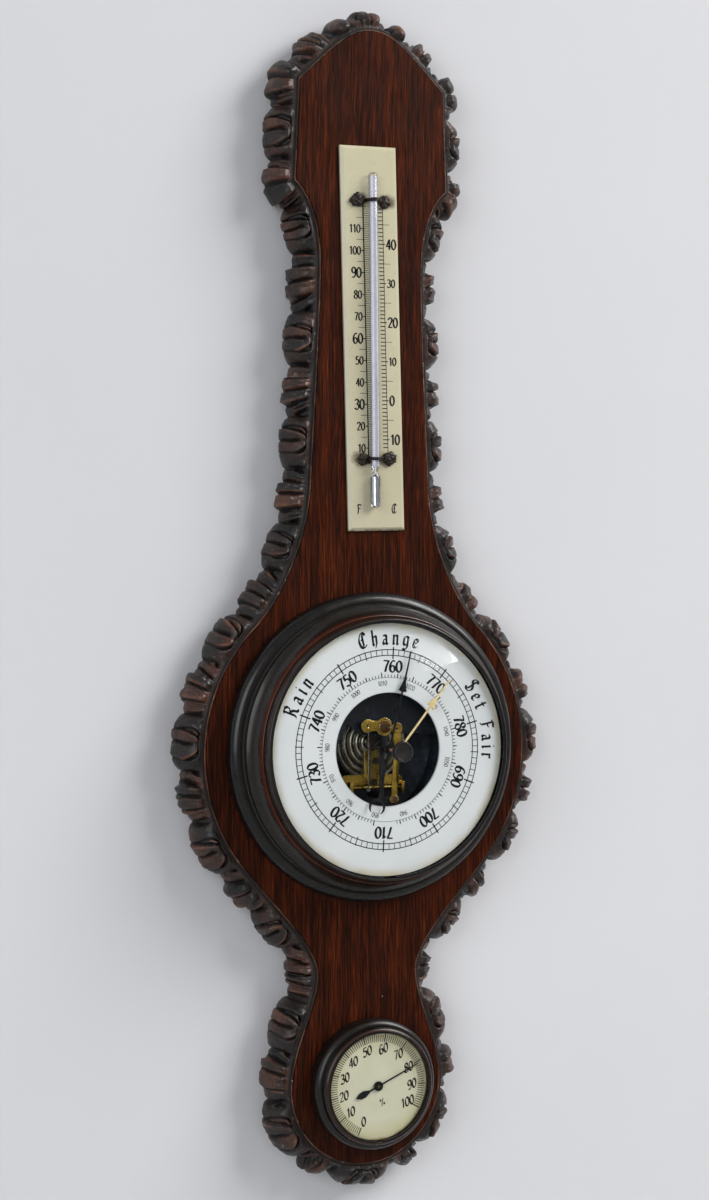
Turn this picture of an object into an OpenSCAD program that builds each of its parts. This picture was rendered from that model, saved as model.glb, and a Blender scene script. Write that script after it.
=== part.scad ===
// Carved wall barometer with a thermometer above and a hygrometer below.
// The origin is the centre of the hanging hole, on the plane of the wall.
// X runs to the right, Z up, and the front of the barometer faces -Y.
// Inside the modules x is right, y is up from the big dial's centre, and z is
// the height in front of the board's flat front.

/* [Board] */
// Thickness of the board
board_t = 20; // [18:0.5:26]
// Height of the head's lower corner above the big dial's centre
head_low = 275.8; // [272:0.2:280]
// Height of the head's upper corner above the lower one
head_tall = 49.1; // [44:0.1:54]
// Height of the apex above the head's upper corner
gable = 26.7; // [22:0.1:31]
// Height of the hanging hole above the head's lower corner
hang_up = 24.2; // [20:0.1:28]
// Half width of the head at its lower corner
head_half = 40.1; // [38:0.1:44]
// Height from the neck's top up to the head's lower corner
throat = 37.8; // [34:0.1:42]
// Half width of the neck at its top
neck_top_half = 26.6; // [24:0.1:29]
// Half width of the neck at its foot
neck_foot_half = 31; // [29:0.1:34]
// Radius of the board's lobe round the big dial
lobe_r = 85; // [83:0.5:90]
// Half width of the lower waist
waist_half = 25.7; // [22:0.1:29]
// Radius of the board's bottom lobe
foot_r = 39.3; // [38:0.1:44]
// Height of the bottom lobe's centre
foot_y = -166; // [-169:0.5:-164]

/* [Carving] */
// Heights of the carved roses down each side
rose_y = [357, 300, 255, 200, 149, 96, 50, 3, -45, -84, -138, -185, -206];
// Heights of the carved leaf bunches down each side
leaf_y = [360, 344, 323, 277, 228, 175, 122.5, 70, 26, -22, -66, -111, -160, -199];
// Reach of a rose beyond the board's edge
rose_reach = 13.4; // [11:0.1:15]
// Reach of a leaf bunch beyond the board's edge
leaf_reach = 12.3; // [10:0.1:14]
// Reach of the border between its carvings
gap_reach = 8.6; // [7:0.1:10]
// Half length of one carving along the edge
carve_half = 12; // [10:0.5:13]
// Width of the plain strip beside the board
strip_w = 3.2; // [2:0.1:4]
// Depth of the strip below the board's front
strip_drop = 1.4; // [0.6:0.1:2.5]
// Depth of the carving's outer edge below the board's front
edge_drop = 12.5; // [10:0.1:15]
// Spacing of the sections along the border
station = 4.5; // [4:0.5:7]

/* [Hanger] */
// Radius of the hanging hole
hang_r = 4; // [3:0.1:5]
// Thickness of the hanging plate
hang_t = 1.6; // [1.2:0.1:3]
// Radius of the hanging plate's round ends
hang_end_r = 10.5; // [9:0.1:12]
// Distance of each hanger screw from the hole
hang_screw_x = 15.5; // [14:0.1:18]
// Depth of the recess for the nail's head
nail_deep = 12; // [9:0.5:14]

/* [Bezel] */
// Outer radius of the turned bezel
bezel_r = 76; // [75:0.1:78]
// Height of the bezel's lip above the board
bezel_h = 24.5; // [24.3:0.1:27]
// Sideways place of the big dial
dial_x = 0.8; // [-1:0.1:2]
// Width of the bezel, from its outer edge to the opening behind the dial
bezel_wide = 18.8; // [16:0.1:19]
// Height of the ledge that carries the case flange
ledge_h = 19; // [18.5:0.1:20]
// Distance of the pocket for dial and glass from the bezel's outer edge
rim_wide = 13.8; // [13.4:0.1:14.5]
// Distance of the bezel screws from the bezel's outer edge
screw_in = 9.5; // [8:0.1:10.5]
// Thickness of the glass
glass_t = 1.8; // [1.4:0.1:2.2]
// Radius of the sphere that the glass follows
glass_ball_r = 164; // [150:1:190]

/* [Dial] */
// Thickness of the dial
dial_t = 1; // [0.6:0.1:1.4]
// Radius of the dial's open centre
dial_hole_r = 27.6; // [26:0.1:30]
// Reach of the pressure hand
hand_tip = 49; // [44:0.5:52]
// Length of the pressure hand's arrow
hand_arrow = 19.4; // [16:0.1:22]
// Distance of the pressure hand's crescent from its arbor
crescent_y = 28.6; // [26:0.1:30]
// Outer radius of the crescent
crescent_r = 4; // [3:0.1:5]
// Turn of the pressure hand, clockwise from upright
hand_turn = 13.3; // [0:0.1:20]
// Reach of the set hand
set_tip = 46; // [40:0.5:50]
// Length of the set hand's arrow
set_arrow = 17.6; // [14:0.1:20]
// Turn of the set hand, clockwise from upright
set_turn = 43.2; // [30:0.1:60]
// Radius of the set knob
knob_r = 5; // [4:0.1:7]
// Thickness of the set knob
knob_t = 3; // [2:0.1:4]

/* [Movement] */
// Gap between the metal case and the opening behind the dial
case_gap = 1.2; // [0.4:0.1:4]
// Wall of the metal case
case_wall = 1.2; // [1:0.1:1.6]
// Depth of the case behind the board's front
case_deep = 16; // [15.5:0.1:17]
// Thickness of the movement's base
base_t = 3; // [2.6:0.1:3.5]
// Radius of the movement's base
base_r = 38; // [33:0.5:44]
// Outer radius of the bellows
bellows_r = 19.5; // [17:0.1:20]
// Sideways place of the bellows
bellows_x = -0.3; // [-0.6:0.1:0.4]
// Height of the bellows' centre
bellows_y = 2.2; // [1.6:0.1:2.4]
// Height of one rib of the bellows
rib_h = 2.5; // [2.2:0.1:2.6]
// Number of ribs on the bellows
ribs = 5; // [4:1:5]
// Depth of the bellows' ribs
rib_deep = 2.2; // [1.6:0.1:3]
// Wall of the bellows
bellows_wall = 0.3; // [0.25:0.05:0.5]
// Teeth on the hand's pinion
pinion_teeth = 12; // [11:1:13]
// Teeth on a whole turn of the sector
sector_teeth = 96; // [92:1:100]
// Sideways place of the sector's pivot
sector_x = -9.3; // [-9.6:0.1:-9]
// Height of the sector's pivot
sector_y = 11.3; // [11:0.1:11.6]
// Thickness of a movement plate
plate_t = 1; // [0.8:0.1:1.2]
// Distance of the rocker shaft below the dial's centre
rocker_drop = 19.6; // [19.2:0.1:20]
// Radius of the rocker shaft
rocker_r = 0.9; // [0.7:0.05:1.1]
// Radius of the rocker's long arm at its round end
arm_end_r = 2.2; // [2:0.1:2.4]
// Throw of the sector's crank pin
crank = 1.6; // [1.5:0.05:1.8]
// Turns of the hairspring
hair_turns = 4; // [3:1:6]

/* [Thermometer] */
// Width of the thermometer's plate
plate_w = 30; // [28:0.1:34]
// Length of the thermometer's plate
plate_l = 188.5; // [180:0.5:200]
// Thickness of the thermometer's plate
thermo_t = 2.2; // [1.8:0.1:3]
// Width of the plate's bevelled edges
plate_bevel = 1.6; // [1:0.1:2]
// Height of the plate's middle above the big dial's centre
thermo_y = 200.5; // [196:0.5:204]
// Lean of the plate to the left
thermo_lean = 1.84; // [0:0.02:2.5]
// Lean of the glass tube to the right, against its plate
tube_lean = 0.94; // [0:0.02:1.2]
// Outer radius of the glass tube
tube_r = 2.25; // [2:0.05:2.6]
// Radius of the tube's fine bore
bore_r = 0.35; // [0.25:0.05:0.5]
// Upper end of the tube above the plate's middle
tube_top = 81; // [76:0.5:86]
// Upper end of the bulb
bulb_top = -67; // [-69:0.5:-66]
// Lower end of the bulb
bulb_low = -83; // [-86:0.5:-78]
// Outer radius of the bulb
bulb_r = 2.5; // [2.3:0.05:2.8]
// Upper end of the mercury thread
thread_top = 22; // [-40:0.5:60]
// Height of the upper clip above the plate's middle
clip_high = 67.5; // [60:0.5:72]
// Height of the lower clip
clip_low = -59; // [-60:0.5:-50]
// Distance of each clip screw from the tube
clip_screw_x = 7.7; // [7:0.1:9]

/* [Hygrometer] */
// Sideways place of the hygrometer
hygro_x = 1.5; // [-1:0.1:2]
// Height of the hygrometer's centre
hygro_y = -165.5; // [-168:0.5:-163]
// Outer radius of the hygrometer's bezel
hygro_r = 32; // [31:0.1:34]
// Height of the hygrometer bezel's lip
hygro_h = 12.9; // [12.9:0.1:14]
// Outer radius of the hygrometer's case
cup_r = 26.3; // [24:0.1:26.8]
// Depth of the hygrometer's case in the board
cup_deep = 13; // [10:0.5:14]
// Wall of the hygrometer's case
cup_wall = 0.9; // [0.7:0.1:1.3]
// Height of the hygrometer's dial face
hygro_face = 9.8; // [9.6:0.1:10]
// Reach of the hygrometer's hand
hygro_tip = 23; // [19:0.5:24]
// Turn of the hygrometer's hand, clockwise from upright
hygro_turn = 66; // [20:1:80]
// Turns of the moisture coil
coil_turns = 5; // [3:1:7]
// Thickness of the moisture coil's strip
coil_t = 0.25; // [0.2:0.05:0.4]

/* [Clearances] */
// Gap round a turning shaft
running = 0.05; // [0.02:0.01:0.1]
// Gap round a piece that is fitted by hand
slip = 0.2; // [0.1:0.05:0.4]
// Gap between pieces that pass each other
pass = 0.3; // [0.2:0.05:0.5]

/* [Hidden] */
$fn = 96;

// Colours
rosewood = "#5a2a1c";
dark_wood = "#33211a";
black_wood = "#241c19";
ivory = "#e4dfc6";
dial_white = "#e6e8ec";
brass = "#b9963f";
steel = "#a8abb0";
black_metal = "#1d1e22";
clear_glass = [0.85, 0.92, 0.95, 0.3];

// Sizes that follow from the bezel and the head
well_r = bezel_r - bezel_wide;
pocket_r = bezel_r - rim_wide;
bezel_screw_r = bezel_r - screw_in;
case_r = well_r - case_gap;
head_top = head_low + head_tall;
apex_y = head_top + gable;
hang_rise = head_low + hang_up;

// Heights in front of the board
dial_low = ledge_h + case_wall;
dial_high = dial_low + dial_t;
seat_h = 0.6;
glass_low = dial_high + seat_h;
glass_r = pocket_r - slip;
ball_drop = glass_ball_r - sqrt(glass_ball_r * glass_ball_r - glass_r * glass_r);
glass_edge_t = 1.5;
glass_crown = glass_low + glass_edge_t + ball_drop;
ball_z = glass_crown - glass_ball_r;
snap_w = 1.3;
snap_t = 0.6;
snap_low = glass_low + glass_edge_t + 0.35;
snap_out = pocket_r + 0.5;

// Movement levels
floor_z = -case_deep + case_wall;
base_top = floor_z + base_t;
bellows_top = base_top + ribs * rib_h;
cap_t = 0.4;
cap_ring = 3.2;
cap_rise = 1.1;
cap_steps = floor(bellows_r / cap_ring * 8);
arm_z = 7;
stud_r = 1.3;
stud_top = arm_z - plate_t / 2 - 0.15;
bridge_z = 11.2;
sector_z = 13;
sector_t = 0.8;
link_z = 14.5;
link_t = 0.5;
hair_z = 14.7;
hair_h = 0.5;
cock_z = 15.6;
cock_t = 0.8;
ear_z = cock_z + cock_t;
ear_top = ear_z + plate_t;
cut_top = ear_top + 3;
arbor_r = 0.75;
pivot_r = 0.45;
hand_z = dial_high + 1.3;
hand_t = 0.4;
boss_r = 2.5;
boss_t = 1.2;

// Gear train
centre_gap = sqrt(sector_x * sector_x + sector_y * sector_y);
tooth_pitch = 2 * centre_gap / (pinion_teeth + sector_teeth);
pinion_pr = tooth_pitch * pinion_teeth / 2;
sector_pr = tooth_pitch * sector_teeth / 2;
mesh_angle = atan2(-sector_y, -sector_x);

// Places in the movement, as seen from the front
pillar_at = [[-0.4, 10.8], [6.3, 9.7]];
pillar_r = 1.2;
foot_at = [5.2, -24.5];
foot_pin_r = 1;
plate_screw_r = 1;
post_at = [[-24.5, 12], [24.5, 12]];
shaft_half = 13;
bracket_t = 1.6;
bracket_gap = 0.15;
ear_in = shaft_half + bracket_gap;
ear_half = 3;
ear_rise = 2.4;
bar_z = 5;
bar_t = 0.8;
bar_w = 5;
bar_low = -rocker_drop + 1.2;
bar_reach = 4.5;
bar_right = 1.7;
bar_arm_x = -7.2;
bar_arm_w = 2.6;
bar_arm_z = 8;
bar_arm_l = 13;
arm_end = [-1.9, -rocker_drop + 2.1];
arm_edge = [[-3.2, -0.5], [-1.2, 3.2], [2.5, 4.6], [2.6, -5.4]];
arm_screw_r = 0.8;
arm_head_r = 1.7;
arm_screws = [[-1.4, -rocker_drop + rocker_r + arm_head_r + 0.1], [-0.3, -6.5]];
crank_x = sector_x + crank;
link_lift = link_z + link_t / 2 - arm_z;
base_screw_at = [[base_r - 8, 90], [base_r - 8, 210], [base_r - 8, 330]];
base_screw_r = 1.25;
base_head_r = 2.6;
base_head_t = 1.3;
adjust_r = 1.5;
adjust_head_r = 3.4;
adjust_head_t = 1.9;
bridge_r = 31;
bridge_notch = [[-23.7, 0], [-18.6, 9.6], [-17.8, 12.4], [-10.4, 6.8]];
cock_strip_x = -2.3;
cock_strip_w = 2.4;

// Hygrometer levels
cup_top = hygro_face - 1;
hygro_seat = hygro_face + 1.2;
hygro_glass_r = 26.9;
hygro_glass_t = 1.2;
hygro_ball_r = 120;
hygro_arbor_r = 0.6;
coil_z = 4.4;
coil_h = 3.2;
coil_in = 2.7;
coil_out = 12.5;

// Frame of the modules: z outwards from the board's front
module front(z = 0)
    translate([0, -(board_t + z), -hang_rise]) rotate([90, 0, 0]) children();

module at_dial(z = 0) translate([dial_x, 0, z]) children();

module at_hygro(z = 0) translate([hygro_x, hygro_y, z]) children();

module at_thermo(z = 0) translate([0, thermo_y, z]) rotate([0, 0, thermo_lean]) children();

module rod(r, z0, z1) translate([0, 0, z0]) cylinder(r = r, h = z1 - z0);

// A screw's slot, or any narrow cut through the axis
module slot(half, w, z0, z1) translate([-half, -w / 2, z0]) cube([2 * half, w, z1 - z0]);

module tube(r_out, r_in, z0, z1)
    difference() {
        rod(r_out, z0, z1);
        rod(r_in, z0 - 1, z1 + 1);
    }

// Outline of the board
function stations(len) = ceil(len / station);
function bez(a, b, c, d) = let (n = stations(norm(d - a)))
    [for (i = [0 : n - 1]) let (t = i / n, u = 1 - t)
        u * u * u * a + 3 * u * u * t * b + 3 * u * t * t * c + t * t * t * d];
function bow(cy, r, a0, a1) = let (n = stations(r * PI * abs(a1 - a0) / 180))
    [for (i = [0 : n - 1]) let (a = a0 + (a1 - a0) * i / n) [r * cos(a), cy + r * sin(a)]];
apex_lift = 9;
lobe_y = -2;
lobe_pull = 20;
waist_pull = 22;
lobe_a0 = 45;
lobe_a1 = -36;
foot_a0 = 14;
lobe_in = [lobe_r * cos(lobe_a0), lobe_y + lobe_r * sin(lobe_a0)];
lobe_in_way = [-sin(lobe_a0), cos(lobe_a0)];
lobe_out = [lobe_r * cos(lobe_a1), lobe_y + lobe_r * sin(lobe_a1)];
lobe_out_way = [sin(lobe_a1), -cos(lobe_a1)];
foot_in = [foot_r * cos(foot_a0), foot_y + foot_r * sin(foot_a0)];
head_corner = [head_half - 1.9, head_top];
head_foot = [head_half, head_low];
shoulder = head_corner + [-15.7, 15.1];
neck_top = [neck_top_half, head_low - throat];
neck_foot = [neck_foot_half, 132];
waist = [waist_half, -111];
apex_edge = bez([0, apex_y], [9, apex_y], shoulder + [-7.5, 6.4], shoulder);
gable_edge = bez(shoulder, shoulder * 2 / 3 + head_corner / 3,
    shoulder / 3 + head_corner * 2 / 3, head_corner);
head_edge = bez(head_corner, head_corner + [0.6, -16], head_foot + [-0.6, 16], head_foot);
throat_edge = bez(head_foot, head_foot + [-7.1, -5.3], neck_top + [0.4, 18], neck_top);
neck_edge = bez(neck_top, neck_top + [-0.4, -23], neck_foot + [-0.8, 18], neck_foot);
flare_edge = bez(neck_foot, neck_foot + [0.4, -29], lobe_in + lobe_pull * lobe_in_way, lobe_in);
lobe_edge = bow(lobe_y, lobe_r, lobe_a0, lobe_a1);
waist_edge = bez(lobe_out, lobe_out + waist_pull * lobe_out_way, waist + [0.5, 16], waist);
ankle_edge = bez(waist, waist + [-0.2, -13], foot_in + [-1.7, 13], foot_in);
foot_edge = bow(foot_y, foot_r, foot_a0, -90);
half_edge = concat(apex_edge, gable_edge, head_edge, throat_edge, neck_edge, flare_edge,
    lobe_edge, waist_edge, ankle_edge, foot_edge);
n_half = len(half_edge);
edge = concat(half_edge, [[0, foot_y - foot_r]],
    [for (i = [n_half - 1 : -1 : 1]) [-half_edge[i][0], half_edge[i][1]]]);
n_edge = len(edge);

// Distances along the right half of the edge, by height
half_run = [for (i = 0, s = 0; i < n_half; i = i + 1,
    s = i < n_half ? s + norm(half_edge[i] - half_edge[i - 1]) : s) s];
low_run = half_run[n_half - 1] + norm(half_edge[n_half - 1] - [0, foot_y - foot_r]);
by_height = concat([[foot_y - foot_r, low_run]],
    [for (i = [n_half - 1 : -1 : 0]) [half_edge[i][1], half_run[i]]]);
rose_run = [for (y = rose_y) lookup(y - reach_lift(y), by_height)];
leaf_run = [for (y = leaf_y) lookup(y - reach_lift(y), by_height)];
function reach_lift(y) = y > head_top ? apex_lift * (y - head_top) / (leaf_y[0] - head_top) : 0;
function run_at(i) = i < n_half ? half_run[i] : i == n_half ? low_run : half_run[n_edge - i];
function nearest(s, list) = min([for (t = list) abs(s - t)]);
function swell(d) = d >= carve_half ? 0 : sqrt(1 - pow(d / carve_half, 2.4));
function reach(i) = let (s = run_at(i)) gap_reach
    + max((rose_reach - gap_reach) * swell(nearest(s, rose_run)),
        (leaf_reach - gap_reach) * swell(nearest(s, leaf_run)));
function fullness(i) = let (s = run_at(i))
    max(swell(nearest(s, rose_run)), 0.8 * swell(nearest(s, leaf_run)));
function outward(i) = let (a = edge[(i + n_edge - 1) % n_edge], b = edge[(i + 1) % n_edge],
    d = (b - a) / norm(b - a)) [-d[1], d[0]];

// One section of the border: distance outwards and height, from the inner front edge
function section(i) = let (w = reach(i), f = fullness(i)) [
    [0, -strip_drop / 2],
    [strip_w, -strip_drop],
    [strip_w + 0.3 * (w - strip_w), -strip_drop - 2.2 + 2.4 * f],
    [strip_w + 0.75 * (w - strip_w), -strip_drop - 6.2 + 3.4 * f],
    [w, -edge_drop],
    [w - 1.5, -board_t + 1.5],
    [gap_reach - 2.5, -board_t],
    [0, -board_t]];
n_sec = 8;

// Ends of the border's lengths, counted along the edge
head_end = len(apex_edge) + len(gable_edge) + len(head_edge);
lobe_start = head_end + len(throat_edge) + len(neck_edge) + len(flare_edge);
foot_start = lobe_start + len(lobe_edge) + len(waist_edge);

// One length of the border, from one point of the edge to another
module carving(first, last) {
    points = [for (i = [first : last]) let (e = (i + n_edge) % n_edge, o = outward(e), q = section(e))
        for (k = [0 : n_sec - 1])
            [edge[e][0] + o[0] * q[k][0], edge[e][1] + o[1] * q[k][0], q[k][1]]];
    far = (last - first) * n_sec;
    sides = [for (i = [0 : last - first - 1]) for (k = [0 : n_sec - 1]) let (m = (k + 1) % n_sec)
        for (f = [[i * n_sec + k, i * n_sec + m, (i + 1) * n_sec + m],
            [i * n_sec + k, (i + 1) * n_sec + m, (i + 1) * n_sec + k]]) f];
    ends = [for (k = [0 : n_sec - 3]) for (f = [[n_sec - 1, k + 1, k],
        [far + n_sec - 1, far + k, far + k + 1]]) f];
    color(dark_wood) front() polyhedron(points, concat(sides, ends));
}

module carved_head() carving(-head_end, head_end);

module carved_neck_right() carving(head_end, lobe_start);

module carved_neck_left() carving(n_edge - lobe_start, n_edge - head_end);

module carved_lobe_right() carving(lobe_start, foot_start);

module carved_lobe_left() carving(n_edge - foot_start, n_edge - lobe_start);

module carved_foot() carving(foot_start, n_edge - foot_start);

module back_board()
    color(rosewood) front() difference() {
        translate([0, 0, -board_t]) linear_extrude(board_t) polygon(edge);
        at_dial() rod(well_r, -board_t - 1, 1);
        at_dial() bezel_screw_places() {
            rod(bezel_screw_hole, -board_t - 1, 1);
            rod(bezel_head_r + slip, -board_t - 1, bezel_head_z);
        }
        at_hygro() rod(cup_r + slip, -cup_deep - slip, 1);
        hanger_place() {
            hanger_shape(hang_end_r + slip / 2, -1, hang_t);
            rod(hang_r + 3, -1, nail_deep);
            hanger_screw_places() rod(hanger_screw_r, -1, hang_t + hanger_screw_l + 0.1);
        }
        at_thermo() clip_screw_places() rod(clip_screw_r, -clip_screw_l - 0.1, 1);
    }

// Hanger, seen from the wall, with z going into the board
hanger_screw_r = 1.6;
hanger_head_r = 3;
hanger_screw_l = 9;
module hanger_place() translate([0, hang_rise, -board_t]) children();

module hanger_shape(r, z0, z1) {
    for (x = [-1, 1]) translate([x * hang_screw_x, 0, 0]) rod(r, z0, z1);
    translate([-hang_screw_x, -r, z0]) cube([2 * hang_screw_x, 2 * r, z1 - z0]);
}

module hanger_screw_places()
    for (x = [-1, 1]) translate([x * hang_screw_x, 0, 0]) children();

module hanger_plate()
    color(brass) front() hanger_place() difference() {
        hanger_shape(hang_end_r, 0, hang_t);
        rod(hang_r, -1, hang_t + 1);
        hanger_screw_places() {
            rod(hanger_screw_r, -1, hang_t + 1);
            translate([0, 0, -0.01])
                cylinder(r1 = hanger_head_r + slip, r2 = hanger_screw_r, h = hang_t);
        }
    }

module hanger_screws()
    color(steel) front() hanger_place() hanger_screw_places() difference() {
        union() {
            translate([0, 0, 0.1])
                cylinder(r1 = hanger_head_r, r2 = hanger_screw_r - 0.05, h = hang_t - 0.2);
            rod(hanger_screw_r - 0.05, hang_t - 0.2, hang_t + hanger_screw_l);
        }
        slot(hanger_head_r + 1, 0.7, -0.1, 0.7);
    }

// Thermometer
clip_screw_r = 1;
clip_screw_l = 6;
clip_head_r = 2.4;
clip_head_t = 1.25;
clip_ball_r = 3.1;
tube_x = -0.5;
tube_z = thermo_t + bulb_r + 0.05;

module clip_places()
    for (y = [clip_high, clip_low]) translate([0, y, 0]) children();

module clip_screw_places()
    clip_places() for (x = [-1, 1]) translate([x * clip_screw_x, 0, 0]) children();

module along_tube()
    translate([tube_x, 0, tube_z]) rotate([0, 0, -tube_lean]) rotate([-90, 0, 0]) children();

module thermometer_plate()
    color(ivory) front() at_thermo() difference() {
        intersection() {
            rotate([90, 0, 0]) translate([0, 0, -plate_l / 2]) linear_extrude(plate_l)
                bevel_shape(plate_w / 2);
            rotate([90, 0, 90]) translate([0, 0, -plate_w / 2]) linear_extrude(plate_w)
                bevel_shape(plate_l / 2);
        }
        clip_screw_places() rod(clip_screw_r, -1, thermo_t + 1);
    }

module bevel_shape(half)
    polygon([[-half, 0], [half, 0], [half, thermo_t - plate_bevel / 1.6],
        [half - plate_bevel, thermo_t], [-half + plate_bevel, thermo_t],
        [-half, thermo_t - plate_bevel / 1.6]]);

module thermometer_tube()
    color(clear_glass) front() at_thermo() along_tube() rotate_extrude()
        polygon([[0, bulb_low], [bulb_r - 0.6, bulb_low], [bulb_r, bulb_low + 0.8],
            [bulb_r, bulb_top - 1], [1.3, bulb_top + 0.8], [1.3, bulb_top + 2],
            [tube_r, bulb_top + 4.5], [tube_r, tube_top - 0.8], [tube_r - 0.8, tube_top],
            [0, tube_top], [0, tube_top - 3], [bore_r, tube_top - 3],
            [bore_r, bulb_top + 0.5], [bulb_r - 0.5, bulb_top - 1],
            [bulb_r - 0.5, bulb_low + 1], [0, bulb_low + 1]]);

module mercury_thread()
    color("#c9ccd2") front() at_thermo() along_tube() rotate_extrude()
        polygon([[0, bulb_low + 1], [bulb_r - 0.52, bulb_low + 1], [bulb_r - 0.52, bulb_top - 1],
            [bore_r - 0.02, bulb_top + 0.45], [bore_r - 0.02, thread_top], [0, thread_top]]);

// A strap across the tube: x is across, the arch stands over the tube's own place
clip_w = 4.4;
clip_t = 0.7;
clip_half = clip_screw_x + 2.6;
arch_r = tube_r + slip;
module arch(r, half, z0) {
    translate([0, half, tube_z]) rotate([90, 0, 0]) cylinder(r = r, h = 2 * half);
    translate([-r, -half, z0]) cube([2 * r, 2 * half, tube_z - z0]);
}

module thermometer_clips()
    color(black_metal) front() at_thermo() for (y = [clip_high, clip_low]) difference() {
        arch_x = tube_x + y * tan(tube_lean);
        union() {
            translate([-clip_half, y - clip_w / 2, thermo_t]) cube([2 * clip_half, clip_w, clip_t]);
            translate([arch_x, y, 0]) arch(arch_r + clip_t, clip_w / 2, thermo_t);
        }
        translate([arch_x, y, 0]) arch(arch_r, clip_w, thermo_t - 1);
        for (x = [-1, 1]) translate([x * clip_screw_x, y, 0])
            rod(clip_screw_r, thermo_t - 1, thermo_t + clip_t + 1);
    }

module clip_screws()
    color(black_metal) front() at_thermo() clip_screw_places() {
        rod(clip_screw_r - 0.03, -clip_screw_l, thermo_t + clip_t + 0.1);
        difference() {
            intersection() {
                translate([0, 0, thermo_t + clip_t + clip_head_t - clip_ball_r])
                    sphere(r = clip_ball_r);
                rod(clip_head_r, thermo_t + clip_t, thermo_t + clip_ball_r);
            }
            slot(clip_head_r + 1, 0.6, thermo_t + 1.5, thermo_t + clip_ball_r);
        }
    }

// Bezel and glass
bezel_screw_hole = 1.6;
bezel_head_r = 3.5;
bezel_head_t = 2.2;
bezel_head_z = -board_t + 8;
bezel_screw_top = 8;

module bezel_screw_places()
    for (a = [45 : 90 : 315]) rotate([0, 0, a]) translate([bezel_screw_r, 0, 0]) children();

function arc_points(c, r, a0, a1, n) = [for (i = [0 : n]) let (a = a0 + (a1 - a0) * i / n)
    c + r * [cos(a), sin(a)]];

module bezel_ring()
    color(black_wood) front() at_dial() difference() {
        rotate_extrude($fn = 144) polygon(concat(
            [[well_r, 0], [bezel_r, 0]],
            arc_points([bezel_r - 4.7, 3.6], 4.7, 0, 88, 8),
            [[bezel_r - 5, 7.6], [bezel_r - 5.5, 9.2], [bezel_r - 6.2, 9.4]],
            arc_points([bezel_r - 0.6, 19.8], 10.2, 236, 180, 8),
            [[bezel_r - 11, 20.4], [bezel_r - 11.7, 20.3], [bezel_r - 12.2, 22.6],
                [bezel_r - 12.6, bezel_h - 0.3], [bezel_r - 13, bezel_h], [pocket_r, bezel_h],
                [pocket_r, snap_low + snap_t + 0.1], [snap_out + slip, snap_low + snap_t + 0.1],
                [snap_out + slip, snap_low - 0.1], [pocket_r, snap_low - 0.1],
                [pocket_r, ledge_h], [well_r, ledge_h]]));
        bezel_screw_places() rod(bezel_screw_hole, -1, bezel_screw_top + 0.2);
    }

module bezel_screws()
    color(steel) front() at_dial() bezel_screw_places() difference() {
        union() {
            rod(bezel_screw_hole - 0.05, bezel_head_z, bezel_screw_top);
            rod(bezel_head_r, bezel_head_z - bezel_head_t, bezel_head_z);
        }
        slot(bezel_head_r + 1, 1, bezel_head_z - bezel_head_t - 1, bezel_head_z - bezel_head_t + 1.1);
    }

module glass_seat_ring()
    color(black_metal) front() at_dial() tube(pocket_r - slip / 2, pocket_r - 1, dial_high, glass_low);

module domed_glass()
    color(clear_glass) front() at_dial() difference() {
        intersection() {
            translate([0, 0, ball_z]) sphere(r = glass_ball_r, $fn = 180);
            rod(glass_r, glass_low, glass_crown + 1);
        }
        translate([0, 0, ball_z]) sphere(r = glass_ball_r - glass_t, $fn = 180);
        rod(bush_r + running, 0, glass_crown + 5);
    }

module glass_snap_ring()
    color(black_metal) front() at_dial() difference() {
        tube(snap_out, snap_out - snap_w, snap_low, snap_low + snap_t);
        translate([-3, -snap_out - 1, 0]) cube([6, snap_w + 2, bezel_h + 1]);
    }

// Set hand, its knob and the bush in the glass
bush_r = 2.4;
stem_r = 1.2;
bush_low = glass_crown - glass_t - 0.8;
bush_high = glass_crown + 0.05;
bush_flange = 3.4;
knob_low = bush_high + 0.6 + pass / 2;
set_hub_t = 0.9;
set_hub_z = bush_low - pass / 2 - set_hub_t;
set_tip_z = hand_z + hand_t + 1.2;
set_slope = atan((set_hub_z + set_hub_t / 2 - set_tip_z) / set_tip);

module glass_bush()
    color(brass) front() at_dial() difference() {
        union() {
            rod(bush_r, bush_low, bush_high + 0.6);
            rod(bush_flange, bush_low, bush_low + 0.74);
            rod(bush_flange, bush_high, bush_high + 0.6);
        }
        rod(stem_r + running, bush_low - 1, bush_high + 2);
    }

module set_knob()
    color(black_metal) front() at_dial() {
        rod(stem_r, set_hub_z, knob_low + 0.5);
        difference() {
            rod(knob_r, knob_low, knob_low + knob_t);
            for (i = [0 : 35]) rotate([0, 0, i * 10]) translate([knob_r + 0.25, 0, 0])
                rod(0.4, knob_low - 1, knob_low + knob_t + 1);
        }
    }

module arrow_shape(hub, base, tip, w0, w1)
    polygon([[-w0, hub], [-w0, base + 0.8], [-w1, base], [-w0, base + 6.5], [-w0 / 2, tip],
        [w0 / 2, tip], [w0, base + 6.5], [w1, base], [w0, base + 0.8], [w0, hub]]);

module set_hand()
    color(brass) front() at_dial() rotate([0, 0, -set_turn]) difference() {
        union() {
            rod(boss_r + 0.5, set_hub_z, set_hub_z + set_hub_t);
            translate([0, 0, set_hub_z + set_hub_t / 2]) rotate([-set_slope, 0, 0])
                linear_extrude(hand_t)
                    arrow_shape(1.8, set_tip - set_arrow, set_tip / cos(set_slope), 0.5, 2.3);
        }
        rod(stem_r, set_hub_z - 2, set_hub_z + 3);
    }

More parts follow.
